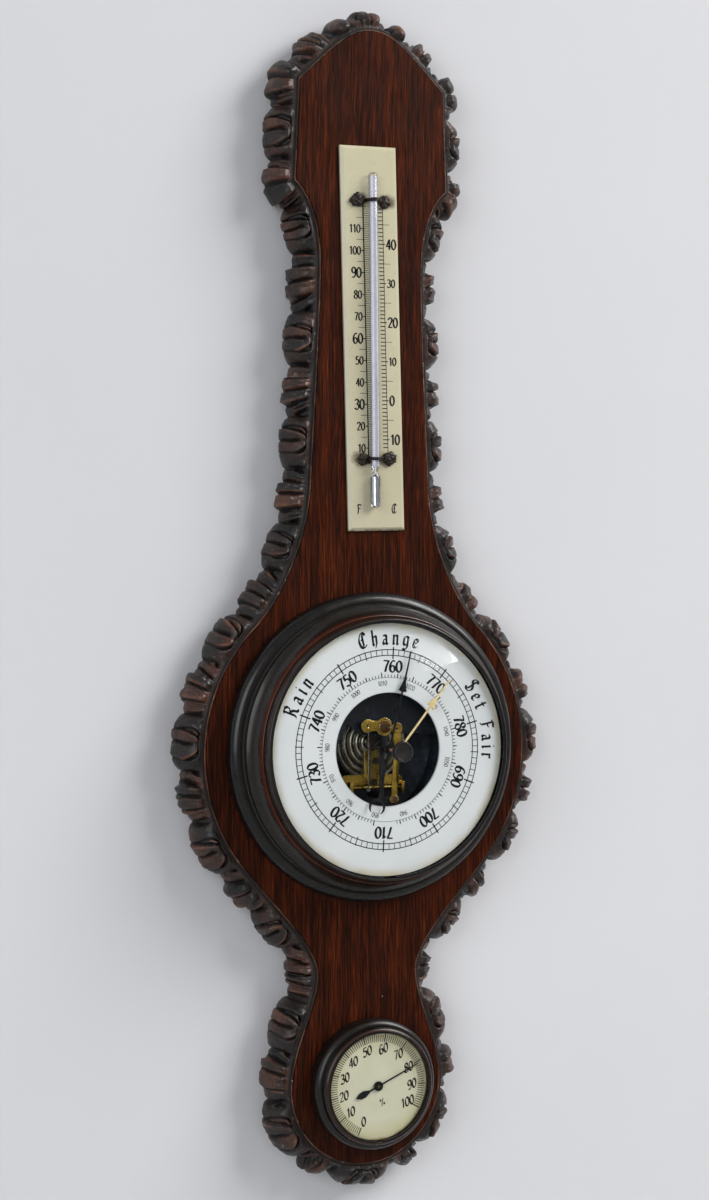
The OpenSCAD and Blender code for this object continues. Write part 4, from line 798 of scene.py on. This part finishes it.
turned_piece("domed_glass", dome(164, 1.8, -128.53, 62.0, 21.8, 2.45), AT_DIAL, "glass", steps=128)
turned_piece("hygrometer_glass", dome(120, 1.2, -104.847, 26.9, 11.0, 0.05), AT_HYGRO, "glass", steps=96)
turned_piece("set_knob", [(0.01, 31.6), (1.2, 31.6), (1.2, 36.3), (4.5, 36.3), (4.9, 36.5), (5.0, 36.9), (5.0, 38.5),
                          (4.85, 38.95), (4.5, 39.25), (4.2, 39.27), (4.05, 39.1), (3.9, 38.85), (3.5, 38.75),
                          (1.5, 38.7), (0.01, 38.7)], AT_DIAL, "knob", "set_hand", 72)


# Print on the dials and the plate

# Strokes of the signs in units of their height: flowing ones through their points, straight ones from point to point
SMOOTH = {
    "0": [[(.3, 1), (.09, .82), (.02, .5), (.09, .18), (.3, 0), (.51, .18), (.58, .5), (.51, .82), (.3, 1)]],
    "2": [[(.06, .76), (.12, .93), (.3, 1), (.48, .92), (.53, .73), (.4, .5), (.2, .25), (.05, .03)]],
    "3": [[(.06, .86), (.26, 1), (.48, .9), (.5, .68), (.25, .54)],
          [(.25, .54), (.5, .45), (.57, .24), (.42, .03), (.2, 0), (.03, .14)]],
    "5": [[(.12, .56), (.32, .62), (.52, .5), (.56, .28), (.42, .06), (.2, 0), (.02, .12)]],
    "6": [[(.5, .92), (.34, 1), (.15, .84), (.04, .56), (.04, .26), (.16, .05), (.32, 0), (.5, .09), (.56, .3),
           (.46, .5), (.3, .56), (.13, .47), (.05, .3)]],
    "8": [[(.3, .54), (.12, .66), (.1, .86), (.3, 1), (.5, .86), (.48, .66), (.3, .54), (.08, .4), (.03, .2),
           (.13, .04), (.3, 0), (.47, .04), (.57, .2), (.5, .4), (.3, .54)]],
    "C": [[(.56, .8), (.4, 1), (.18, .86), (.06, .5), (.14, .12), (.34, 0), (.58, .16)]],
    "S": [[(.5, .86), (.34, 1), (.13, .88), (.12, .68), (.42, .46), (.52, .26), (.4, .04), (.2, 0), (.04, .14)]],
}
SMOOTH["9"] = [[(0.6 - x, 1 - y) for x, y in stroke] for stroke in SMOOTH["6"]]
STRAIGHT = {
    "1": [[(.1, .8), (.3, 1), (.3, 0)]],
    "2": [[(.04, .04), (.57, .04)]],
    "4": [[(.43, 0), (.43, 1), (.02, .3), (.6, .3)]],
    "5": [[(.53, .97), (.14, .97), (.12, .56)]],
    "7": [[(.02, .96), (.57, .96), (.36, .5), (.24, 0)]],
    "C": [[(.34, .9), (.34, .1)], [(.2, .5), (.34, .62)]],
    "S": [[(.32, .92), (.26, .1)]],
    "R": [[(.02, .9), (.16, 1), (.16, .08), (.04, 0)], [(.16, .94), (.38, 1), (.52, .84), (.46, .64), (.22, .54)],
          [(.28, .54), (.42, .34), (.46, .08), (.6, 0)]],
    "F": [[(.2, .96), (.2, .1), (.06, 0)], [(.04, .88), (.24, 1), (.56, .9)], [(.2, .54), (.46, .56)]],
    "a": [[(.08, .54), (.2, .63), (.34, .54), (.34, .06), (.44, 0)],
          [(.34, .38), (.14, .3), (.08, .12), (.18, 0), (.34, .14)]],
    "e": [[(.38, .1), (.22, 0), (.08, .12), (.08, .5), (.22, .63), (.36, .5), (.32, .36), (.1, .28)]],
    "g": [[(.38, .56), (.22, .63), (.08, .5), (.08, .14), (.2, .02), (.38, .14)],
          [(.38, .6), (.38, -.1), (.24, -.28), (.06, -.2)]],
    "h": [[(.04, .94), (.12, 1), (.12, .06), (.2, 0)], [(.12, .48), (.3, .63), (.38, .54), (.38, .08), (.28, -.14)]],
    "i": [[(.02, .56), (.1, .63), (.1, .06), (.18, 0)], [(.06, .84), (.12, .9)]],
    "n": [[(.02, .56), (.1, .63), (.1, .06), (.18, 0)], [(.1, .48), (.28, .63), (.37, .54), (.37, .06), (.45, 0)]],
    "r": [[(.02, .56), (.1, .63), (.1, .06), (.18, 0)], [(.1, .48), (.24, .63), (.34, .54)]],
    "t": [[(.14, .86), (.14, .08), (.22, 0), (.32, .07)], [(.02, .6), (.3, .6)]],
    "%": [[(.08, .9), (.2, .9), (.2, .7), (.08, .7), (.08, .9)], [(.6, 1), (.1, 0)],
          [(.5, .3), (.62, .3), (.62, .1), (.5, .1), (.5, .3)]],
}
DIGIT_WIDTH, LETTER_GAP, FLOW_PARTS = .6, .12, 5
WIDTHS = {"1": .5, "C": .66, "S": .62, "R": .66, "F": .6, "a": .5, "e": .45, "g": .48, "h": .5, "i": .25, "n": .51,
          "r": .4, "t": .38, " ": .34, "%": .8}


def smoothed(points):
    """A flowing line through all of the points."""
    p = [Vector(q) for q in points]
    p = [2 * p[0] - p[1]] + p + [2 * p[-1] - p[-2]]
    out = []
    for a, b, c, d in zip(p, p[1:], p[2:], p[3:]):
        for i in range(FLOW_PARTS):
            t = i / FLOW_PARTS
            out.append(0.5 * (2 * b + t * (c - a) + t * t * (2 * a - 5 * b + 4 * c - d)
                              + t ** 3 * (3 * b - a - 3 * c + d)))
    return out + [p[-2]]


def ribbon(bm, points, nib, angle, place):
    """The mark that a broad nib, held at an angle, leaves along a line."""
    half = Vector((math.cos(angle), math.sin(angle), 0)) * nib / 2
    verts = [bm.verts.new(Vector((p[0], p[1], 0)) - half) for p in points]
    edges = [bm.edges.new(pair) for pair in zip(verts, verts[1:])]
    made = bmesh.ops.extrude_edge_only(bm, edges=edges)["geom"]
    new = [v for v in made if isinstance(v, bmesh.types.BMVert)]
    bmesh.ops.translate(bm, verts=new, vec=half * 2)
    bmesh.ops.transform(bm, matrix=place, verts=verts + new)


def letter(bm, sign, place, size, nib, angle, thin):
    """Writes one sign with a broad nib, and a thin stroke across it."""
    for strokes, flow in ((SMOOTH.get(sign, ()), smoothed), (STRAIGHT.get(sign, ()), list)):
        for stroke in strokes:
            line = flow(stroke)
            scale = place @ Matrix.Scale(size, 4)
            ribbon(bm, line, nib, angle, scale)
            ribbon(bm, line, thin, angle + math.pi / 2, scale)


def width_of(word, gap):
    return sum(WIDTHS.get(c, DIGIT_WIDTH) + gap for c in word) - gap


def write_line(bm, word, place, size, anchor=0.5, slim=1.0, **pen):
    """Writes a word along +x of a place, anchored at a share of its length."""
    x = -anchor * width_of(word, LETTER_GAP) * size * slim
    for c in word:
        letter(bm, c, place @ Matrix.Translation((x, -size / 2, 0)) @ Matrix.Diagonal((slim, 1, 1, 1)), size, **pen)
        x += (WIDTHS.get(c, DIGIT_WIDTH) + LETTER_GAP) * size * slim


def round_place(turn, radius, height):
    """The place on a dial, turned clockwise in degrees from the top, its top outwards."""
    return Matrix.Rotation(math.radians(-turn), 4, "Z") @ Matrix.Translation((0, radius, height))


def write_round(bm, word, turn, radius, height, size, slim, gap, **pen):
    """Writes a word along an arc, its middle at the turn."""
    way = -width_of(word, gap) * size * slim / 2
    for c in word:
        wide = WIDTHS.get(c, DIGIT_WIDTH) * size * slim
        place = round_place(turn + math.degrees((way + wide / 2) / radius), radius, height)
        corner = place @ Matrix.Translation((-wide / 2, -size / 2, 0))
        letter(bm, c, corner @ Matrix.Diagonal((slim, 1, 1, 1)), size, **pen)
        way += wide + gap * size * slim


def bar(bm, place, x0, y0, x1, y1):
    """A flat printed rectangle."""
    fit = place @ Matrix.Translation(((x0 + x1) / 2, (y0 + y1) / 2, 0)) @ Matrix.Diagonal((x1 - x0, y1 - y0, 1, 1))
    bmesh.ops.create_grid(bm, x_segments=1, y_segments=1, size=0.5, matrix=fit)


def tick(bm, turn, r0, r1, width, height):
    bar(bm, round_place(turn, 0, height), -width / 2, r0, width / 2, r1)


CIRCLE_STEPS = 144


def circle(bm, r, width, height):
    a, b = bm.verts.new((r - width / 2, 0, height)), bm.verts.new((r + width / 2, 0, height))
    edge = bm.edges.new((a, b))
    bmesh.ops.spin(bm, geom=[a, b, edge], cent=(0, 0, 0), axis=(0, 0, 1), angle=math.tau, steps=CIRCLE_STEPS,
                   use_merge=True)


def printed(name, bm, finish, place):
    """A piece of flat print, every face towards the front."""
    bm.normal_update()
    back = [f for f in bm.faces if f.normal.z < 0]
    bmesh.ops.reverse_faces(bm, faces=back)
    piece(name, bm, finish, matrix=place, outward=False)


def dial_print():
    """An outer scale in mm of mercury, an inner one in millibars, and the weather words."""
    bm = bmesh.new()
    h = DIAL_FACE
    top = 2.8
    circle(bm, 45.6, 0.45, h)
    circle(bm, 48.4, 0.45, h)
    for k in range(100):
        tick(bm, top + 3.6 * k, 45.6, 48.4, 0.34, h)
    for k in range(20):
        r0, r1, width = (44.5, 48.9, 0.45) if k % 2 else (43.9, 49.6, 0.68)
        tick(bm, top + 18 * k, r0, r1, width, h + 0.005)
    for k in range(10):
        write_line(bm, str(690 + 10 * k), round_place(top + 36 * (k - 7), 40.3, h), 5.6, slim=0.86, nib=0.26,
                   angle=0.2, thin=0.13)
    circle(bm, 34.9, 0.16, h)
    for k in range(127):
        tick(bm, top + 2.7 * (k - 63 - 0.25), 34.8, 37.4 if k % 10 == 0 else 36.9 if k % 5 == 0 else 36.3,
             0.55 if k % 5 == 0 else 0.36, h)
    for k in range(12):
        value = 940 + 10 * k
        write_line(bm, str(value), round_place(top + 2.7 * (value - 1013.25), 32.2, h), 2.3, slim=0.8, nib=0.17,
                   angle=0.4, thin=0.09)
    for word, turn in (("Rain", -61), ("Change", 0), ("Set Fair", 75)):
        write_round(bm, word, turn, 54.6, h, 7.4, slim=0.97, nib=0.19, angle=0.72, gap=0.3, thin=0.08)
    printed("dial_print", bm, "ink", AT_DIAL)


def hygrometer_print():
    """A scale from 0 to 100 with its numbers, turned as the dial sits in the photo."""
    bm = bmesh.new()
    h = HYGRO_FACE
    start, tilt = -137.5, 18.4
    seat = Matrix.Rotation(math.radians(tilt), 4, "Z")
    slant = Matrix(((1, 0.22, 0, 0), (0, 1, 0, 0), (0, 0, 1, 0), (0, 0, 0, 1)))
    for k in range(101):
        tick(bm, start - tilt + 2.75 * k, 21.6, 25.5 if k % 5 == 0 else 25.0, 0.6 if k % 10 == 0 else 0.36, h)
    for k in range(11):
        turn = math.radians(start + 27.5 * k)
        spot = Matrix.Translation((18.4 * math.sin(turn), 18.4 * math.cos(turn), h))
        write_line(bm, str(10 * k), seat @ spot @ slant, 4.4, slim=0.8, nib=0.25, angle=0.5, thin=0.12)
    write_line(bm, "%", seat @ Matrix.Translation((0, -8.4, h)), 3.4, nib=0.2, angle=0.6, thin=0.13)
    printed("hygrometer_print", bm, "brown_ink", AT_HYGRO)


def thermometer_print():
    """Degrees F left of the tube, numbered up to 110, and degrees C right of it, numbered up to 40."""
    bm = bmesh.new()
    flat = Matrix.Translation((0, 0, PLATE_FACE))
    low, high, left, right = -57.5, 65.5, -3.8, 6.7
    pen = {"slim": 0.76, "nib": 0.27, "angle": 0.2, "thin": 0.13}
    bar(bm, flat, left - 0.32, low, left + 0.32, high)
    bar(bm, flat, right - 0.18, low, right + 0.18, high)
    for f in range(5, 124):
        y = -53.7 + 1.074 * (f - 10)
        if low < y < high:
            bar(bm, flat, left, y - 0.13, -0.9, y + 0.13)
            if f % 10 == 0 and f < 115:
                bar(bm, flat, left - 1.3, y - 0.25, left, y + 0.25)
                big = f in (30, 60, 90)
                write_line(bm, str(f), flat @ Matrix.Translation((-5.6, y, 0)), 5.0 if big else 4.0, 1.0, **pen)
            elif f % 5 == 0:
                bar(bm, flat, left - 3.8, y - 0.12, left, y + 0.12)
    for c in range(-12, 53):
        y = -30.4 + 1.92 * c
        if low < y < high:
            bar(bm, flat, 4.2, y - 0.24, right, y + 0.24)
            if c % 10 == 0 and c < 45:
                bar(bm, flat, right, y - 0.25, right + 1.0, y + 0.25)
                big = c not in (10, 30)
                write_line(bm, str(abs(c)), flat @ Matrix.Translation((8.4, y, 0)), 5.0 if big else 4.0, 0.0, **pen)
            elif c % 5 == 0:
                bar(bm, flat, right, y - 0.12, right + 3.6, y + 0.12)
    for sign, x in (("F", -9.6), ("C", 9.4)):
        write_line(bm, sign, flat @ Matrix.Translation((x, -83.5, 0)), 4.6, nib=0.17, angle=0.7, thin=0.09)
    printed("thermometer_print", bm, "ink", AT_THERMO)


dial_print()
hygrometer_print()
thermometer_print()


# Thermometer: glass tube with its white back, and the clips

AT_TUBE = AT_THERMO @ Matrix.Translation((-0.5, 0, 4.75)) @ Matrix.Rotation(-TUBE_LEAN, 4, "Z") \
    @ Matrix.Rotation(-math.pi / 2, 4, "X")


def thermometer_tube():
    profile = [(0.01, -83), (1.1, -83), (1.9, -82.6), (2.4, -81.6), (2.5, -80.5), (2.5, -68.4), (2.3, -67.6),
               (1.7, -66.6), (1.3, -65.8), (1.3, -65.2), (1.6, -64.2), (2.1, -63.0), (2.25, -61.8), (2.25, 79.2),
               (2.05, 80.2), (1.5, 80.8), (0.7, 81), (0.01, 81)]
    bm = spin_profile(profile, 40)
    piece("thermometer_tube_clear", bm, "tube_glass", ("thermometer_tube",), AT_TUBE, 60)
    # The milk glass is a strip along the back half of the tube; local +y of the tube points to the front
    bm = bmesh.new()
    section = arc(0, 0, 1.95, 200, 340, 12) + arc(0, 0, 1.45, 335, 205, 12)
    verts = [bm.verts.new((x, y, -63)) for x, y in section]
    edges = [bm.edges.new(pair) for pair in zip(verts, verts[1:] + verts[:1])]
    bmesh.ops.contextual_create(bm, geom=edges)
    thicken(bm, verts, 142)
    piece("tube_backing", bm, "milk_glass", (), AT_TUBE, 50)


thermometer_tube()


def clip_lump(name, x, y, wide, tall, turn, seed):
    """A blackened screw head with wire wound round it."""
    bm = bmesh.new()
    bmesh.ops.create_icosphere(bm, subdivisions=4, radius=1.0)
    for v in bm.verts:
        c = v.co
        ripple = 0.09 * math.sin(c.x * 5 + seed) + 0.09 * math.sin(c.y * 7 + seed * 2) \
            + 0.07 * math.sin((c.x + c.y) * 11 + seed) + 0.05 * math.sin(c.x * 17 - c.y * 13)
        ring = 0.16 * math.exp(-((math.hypot(c.x, c.y) - 0.55) / 0.12) ** 2) * (c.z > 0)
        slot = 0.2 * math.exp(-((c.x * 0.8 + c.y * 0.6) / 0.1) ** 2) * (c.z > 0) * (math.hypot(c.x, c.y) < 0.5)
        grow = 1 + ripple
        v.co = Vector((c.x * grow * wide, c.y * grow * tall, max(c.z, -0.35) * grow * 1.25 - (ring + slot) * 1.2))
    place = AT_THERMO @ Matrix.Translation((x, y, 2.95)) @ Matrix.Rotation(turn, 4, "Z")
    piece(name, bm, "iron", ("clip_screws",), place, 60)


STRAP_STEPS = 48


def clip_band(name, y):
    """The wire strap that holds the tube down: two strands from screw to screw, arched over the tube."""
    bm = bmesh.new()
    middle = -0.5 + y * math.tan(TUBE_LEAN)
    for strand in (-0.55, 0.55):
        path = []
        for i in range(STRAP_STEPS + 1):
            x = -7.7 + 15.4 * i / STRAP_STEPS
            d = (x - middle) / 3.4
            rise = 5.0 * math.sqrt(max(0.0, 1 - min(1.0, abs(d)) ** 2.2))
            beside = strand * (1 - 0.5 * math.exp(-(d * 1.2) ** 2)) + 0.15 * math.sin(x * 0.8 + strand)
            path.append(Vector((x, y + beside, 2.9 + rise)))
        last = None
        for i, spot in enumerate(path):
            way = (path[min(i + 1, STRAP_STEPS)] - path[max(i - 1, 0)]).normalized()
            turn = way.to_track_quat("Z", "Y").to_matrix().to_4x4()
            made = bmesh.ops.create_circle(bm, segments=10, radius=0.48, cap_ends=i in (0, STRAP_STEPS),
                                           matrix=Matrix.Translation(spot) @ turn)["verts"]
            edges = {e for v in made for e in v.link_edges if all(w in made for w in e.verts)}
            if last:
                bmesh.ops.bridge_loops(bm, edges=list(edges | last))
            last = edges
    piece(name, bm, "iron", ("thermometer_clips",), AT_THERMO, 60)


# Each lump's place beside and over its clip, its half width and height, and its turn
LUMPS = (((-7.0, 0.2, 3.8, 3.2, 0.3), (7.4, -0.5, 3.6, 2.9, -0.2)),
         ((-6.7, -0.2, 3.5, 3.0, 0.1), (7.1, 0.1, 3.5, 3.1, 0.4)))
for k, clip_y in enumerate(CLIPS_Y):
    clip_band("clip_wire_%d" % (k + 1), clip_y)
    for j, (x, dy, wide, tall, turn) in enumerate(LUMPS[k]):
        clip_lump("clip_lump_%d%d" % (k + 1, j + 1), x, clip_y + dy, wide, tall, turn, k * 3 + j)


# Hands and the plates of the movement

def hand_strip(bm, rows, height, thick):
    """A flat hand's outline: rows of (y in the middle, y at the edge, half width), with a slight ridge."""
    made = bmesh.ops.create_grid(bm, x_segments=2, y_segments=len(rows) - 1, size=1.0)["verts"]
    for v in made:
        side = round(v.co.x)
        middle, edge, half = rows[round((v.co.y + 1) / 2 * (len(rows) - 1))]
        v.co = Vector((side * half, edge if side else middle, height + (0 if side else 0.12)))
    thicken(bm, made, thick)


CRESCENT_STEPS = 36


def crescent(bm, centre_y, r, half, height, thick):
    """A horseshoe that opens downwards and thins out to its two points."""
    made = bmesh.ops.create_grid(bm, x_segments=1, y_segments=CRESCENT_STEPS, size=1.0)["verts"]
    for v in made:
        side = round((v.co.x + 1) / 2)
        share = 2 * round((v.co.y + 1) / 2 * CRESCENT_STEPS) / CRESCENT_STEPS - 1
        turn = math.radians(90 + 138 * share)
        reach = r + (half if side else -half) * (1 - abs(share) ** 2.6) ** 0.8
        v.co = Vector((reach * math.cos(turn), centre_y + reach * math.sin(turn), height))
    thicken(bm, made, thick)


def pressure_hand():
    """The boss, the arm with its arrow, the tail and the crescent at its end."""
    bm = spin_profile([(0.76, 22.3), (2.35, 22.3), (2.5, 22.45), (2.5, 23.15), (2.3, 23.45), (2.0, 23.5),
                       (0.76, 23.5)], 48)
    low = 22.5
    hand_strip(bm, [(1.5, 1.5, 0.5), (28.6, 28.6, 0.42), (30.5, 29.2, 2.2), (32.6, 31.8, 1.25), (35.6, 35.4, 0.45),
                    (42.0, 42.0, 0.36), (49.0, 48.9, 0.18)], low, 0.38)
    hand_strip(bm, [(-24.4, -24.4, 0.55), (-14.0, -14.0, 0.5), (-1.5, -1.5, 0.6)], low, 0.38)
    crescent(bm, -28.5, 3.75, 0.72, low, 0.4)
    piece("pressure_hand_filed", bm, "black", ("pressure_hand",),
          AT_DIAL @ Matrix.Rotation(math.radians(-13.3), 4, "Z"), 30, "hand")


SHARP_EDGE = 0.9


def filed(name, width, finish):
    """A flat metal part with its sharp edges filed off, and a painted highlight marked on the bevels."""
    bm = bmesh.new()
    bm.from_mesh(NODES[name].data)
    bmesh.ops.remove_doubles(bm, verts=bm.verts, dist=1e-7)
    bmesh.ops.dissolve_limit(bm, angle_limit=0.02, verts=bm.verts, edges=bm.edges)
    # Marks the bevels that get the painted highlight
    layer = bm.loops.layers.float.new("filed")
    sharp = [e for e in bm.edges if len(e.link_faces) == 2 and e.calc_face_angle(0) > SHARP_EDGE]
    fresh = bmesh.ops.bevel(bm, geom=sharp, offset=width * MM, offset_type="OFFSET", segments=2, profile=0.5,
                            affect="EDGES", material=-1, clamp_overlap=True)["faces"]
    for face in fresh:
        for corner in face.loops:
            corner[layer] = 1.0
    piece(name + "_filed", bm, finish, (name,), FRONT.inverted(), 50)


def movement_grime():
    """Painted shade: dark sheets in the screws' slots and at the bottom of the stars punched in the plates."""
    bm = bmesh.new()
    bar(bm, Matrix.Translation((-0.4, 10.8, 18.52)), -2.7, -0.28, 2.7, 0.28)
    bar(bm, Matrix.Translation((5.2, -24.5, 18.32)), -1.5, -0.24, 1.5, 0.24)
    for x, y in ((-9.3, 11.3), (6.3, 9.7)):
        middle = Vector((x, y, 16.93))
        star = bmesh.ops.create_circle(bm, segments=10, radius=1.05, cap_ends=True,
                                       matrix=Matrix.Translation(middle))["verts"]
        for v in star[::2]:
            v.co = middle.lerp(v.co, 0.5)
    printed("movement_grime", bm, "ink", AT_DIAL)


pressure_hand()
movement_grime()
for name, width, finish in (("left_ear_plate", 0.3, "brass"), ("right_strip_plate", 0.3, "brass"),
                            ("plate_screws", 0.18, "screw_brown"), ("rocker_brackets", 0.2, "brass")):
    filed(name, width, finish)


# Finishes of the parts that stay as they are

KEPT = {
    "back_board": "board", "hanger_plate": "old_brass", "hanger_screws": "steel", "thermometer_plate": "plate",
    "mercury_thread": "mercury", "bezel_screws": "steel",
    "case_drum": "drum", "dial_plate": "dial", "glass_seat_ring": "black", "glass_bush": "bright_brass",
    "glass_snap_ring": "black", "set_hand": "pale_brass", "hand_arbor": "rose_brass",
    "hairspring": "steel", "sector_lever": "iron", "link_wire": "steel", "rocker_arm": "old_brass",
    "rocker_screws": "iron", "bellows": "bronze", "bellows_stud": "bronze", "movement_base": "base_plate",
    "base_screws": "steel", "base_posts": "iron", "lower_bridge": "blue_black", "arbor_cock": "black",
    "plate_pillars": "brass", "adjusting_screw": "brass", "hygrometer_case": "brass",
    "hygrometer_dial": "hygro_dial", "hygrometer_snap_ring": "black", "hygrometer_hand": "black",
    "hygrometer_arbor": "old_brass", "moisture_coil": "coil",
}
for name, finish in KEPT.items():
    for place in NODES[name].material_slots:
        place.material = FINISH[finish]


# Room, light and camera

# How far from the wall, in m, light still passes it, and the radius in mm where the board has its big hole
NEAR_WALL, HOLE_R = 0.0022, 70.0


def stage_material(name, colour, see_through):
    """Plain paint, a little darker towards the top as painted shade, that may be see-through from behind."""
    f = Finish(name)
    # Painted shade that grows towards the top, with random blotches
    shade = f.clamp(f.noise(3.0, 3.0), 0.3, 0.7) * 0.25 + f.clamp(f.parts()[2], -0.4, 0.15) * 0.75
    tone = f.mix(shade, colour, tuple(c * 0.84 for c in linear(colour)[:3]) + (1,))
    f.paint(Base_Color=tone, Roughness=0.95)
    if see_through:
        # From behind, and for light on the board's back and in its big hole, the wall isn't there
        path = f.node("ShaderNodeLightPath")
        hole = f.math("LESS_THAN", radius_from(f, DIAL_X, 0), HOLE_R)
        near = f.math("MAXIMUM", f.math("LESS_THAN", path["Ray Length"], NEAR_WALL), hole)
        near = near * (1 - path["Is Camera Ray"])
        back = f.math("MAXIMUM", f.node("ShaderNodeNewGeometry")["Backfacing"], near)
        f.blend(back, f.shader, f.node("ShaderNodeBsdfTransparent"))
    return f.material


def stage_plane(name, matrix, material):
    bm = bmesh.new()
    bmesh.ops.create_grid(bm, x_segments=8, y_segments=8, size=1.0, matrix=matrix)
    made = mesh_object(name, bm, material)


WALL = Matrix.Translation((0, 0.0012, 0.4)) @ Matrix.Rotation(math.pi / 2, 4, "X") @ Matrix.Diagonal((3.2, 1.6, 1, 1))
FLOOR = Matrix.Translation((0, -1.8, -1.2)) @ Matrix.Diagonal((3.2, 1.9, 1, 1))
stage_plane("wall", WALL, stage_material("pale_wall", "d9dade", True))
stage_plane("floor", FLOOR, stage_material("pale_floor", "b4b4b2", False))


def lamp(name, place, aim_z, size, power, colour):
    light = bpy.data.lights.new(name, "AREA")
    light.shape = "RECTANGLE"
    light.size = light.size_y = size
    light.energy = power
    light.color = colour
    made = add_object(name, light)
    made.location = place
    made.rotation_euler = (Vector((0, 0, aim_z)) - Vector(place)).to_track_quat("-Z", "Y").to_euler()


lamp("key_window", (1.8, -1.3, 1.35), -0.3, 1.5, 78, (1.0, 0.985, 0.965))
lamp("fill_window", (-2.1, -1.9, 0.35), -0.35, 1.8, 34, (0.97, 0.985, 1.0))
lamp("back_window", (0.8, 2.4, 0.9), -0.25, 1.5, 60, (1.0, 1.0, 1.0))

world = bpy.data.worlds.new("soft_room")
bpy.context.scene.world = world
world.use_nodes = True
background = world.node_tree.nodes["Background"].inputs
background["Color"].default_value = (0.9, 0.9, 0.92, 1)
background["Strength"].default_value = 0.32

# The camera, as solved from the photo
YAW, PITCH_DOWN, ROLL = math.radians(23.954), math.radians(0.392), math.radians(0.33)
CAMERA_PLACE, LENS, SENSOR = (-0.4446, -1.0024, -0.2205), 65.713, 36
forward = Vector((math.sin(YAW) * math.cos(PITCH_DOWN), math.cos(YAW) * math.cos(PITCH_DOWN),
                  -math.sin(PITCH_DOWN)))
right = Vector((math.cos(YAW), -math.sin(YAW), 0))
up = right.cross(forward)
right, up = right * math.cos(ROLL) + up * math.sin(ROLL), up * math.cos(ROLL) - right * math.sin(ROLL)
camera = add_object("camera", bpy.data.cameras.new("camera"))
camera.matrix_world = Matrix((right, up, -forward)).transposed().to_4x4()
camera.location = CAMERA_PLACE
camera.data.lens = LENS
camera.data.sensor_width = SENSOR
camera.data.sensor_fit = "AUTO"
camera.data.clip_start = 0.01
bpy.context.scene.camera = camera
bpy.context.scene.view_settings.view_transform = "Standard"
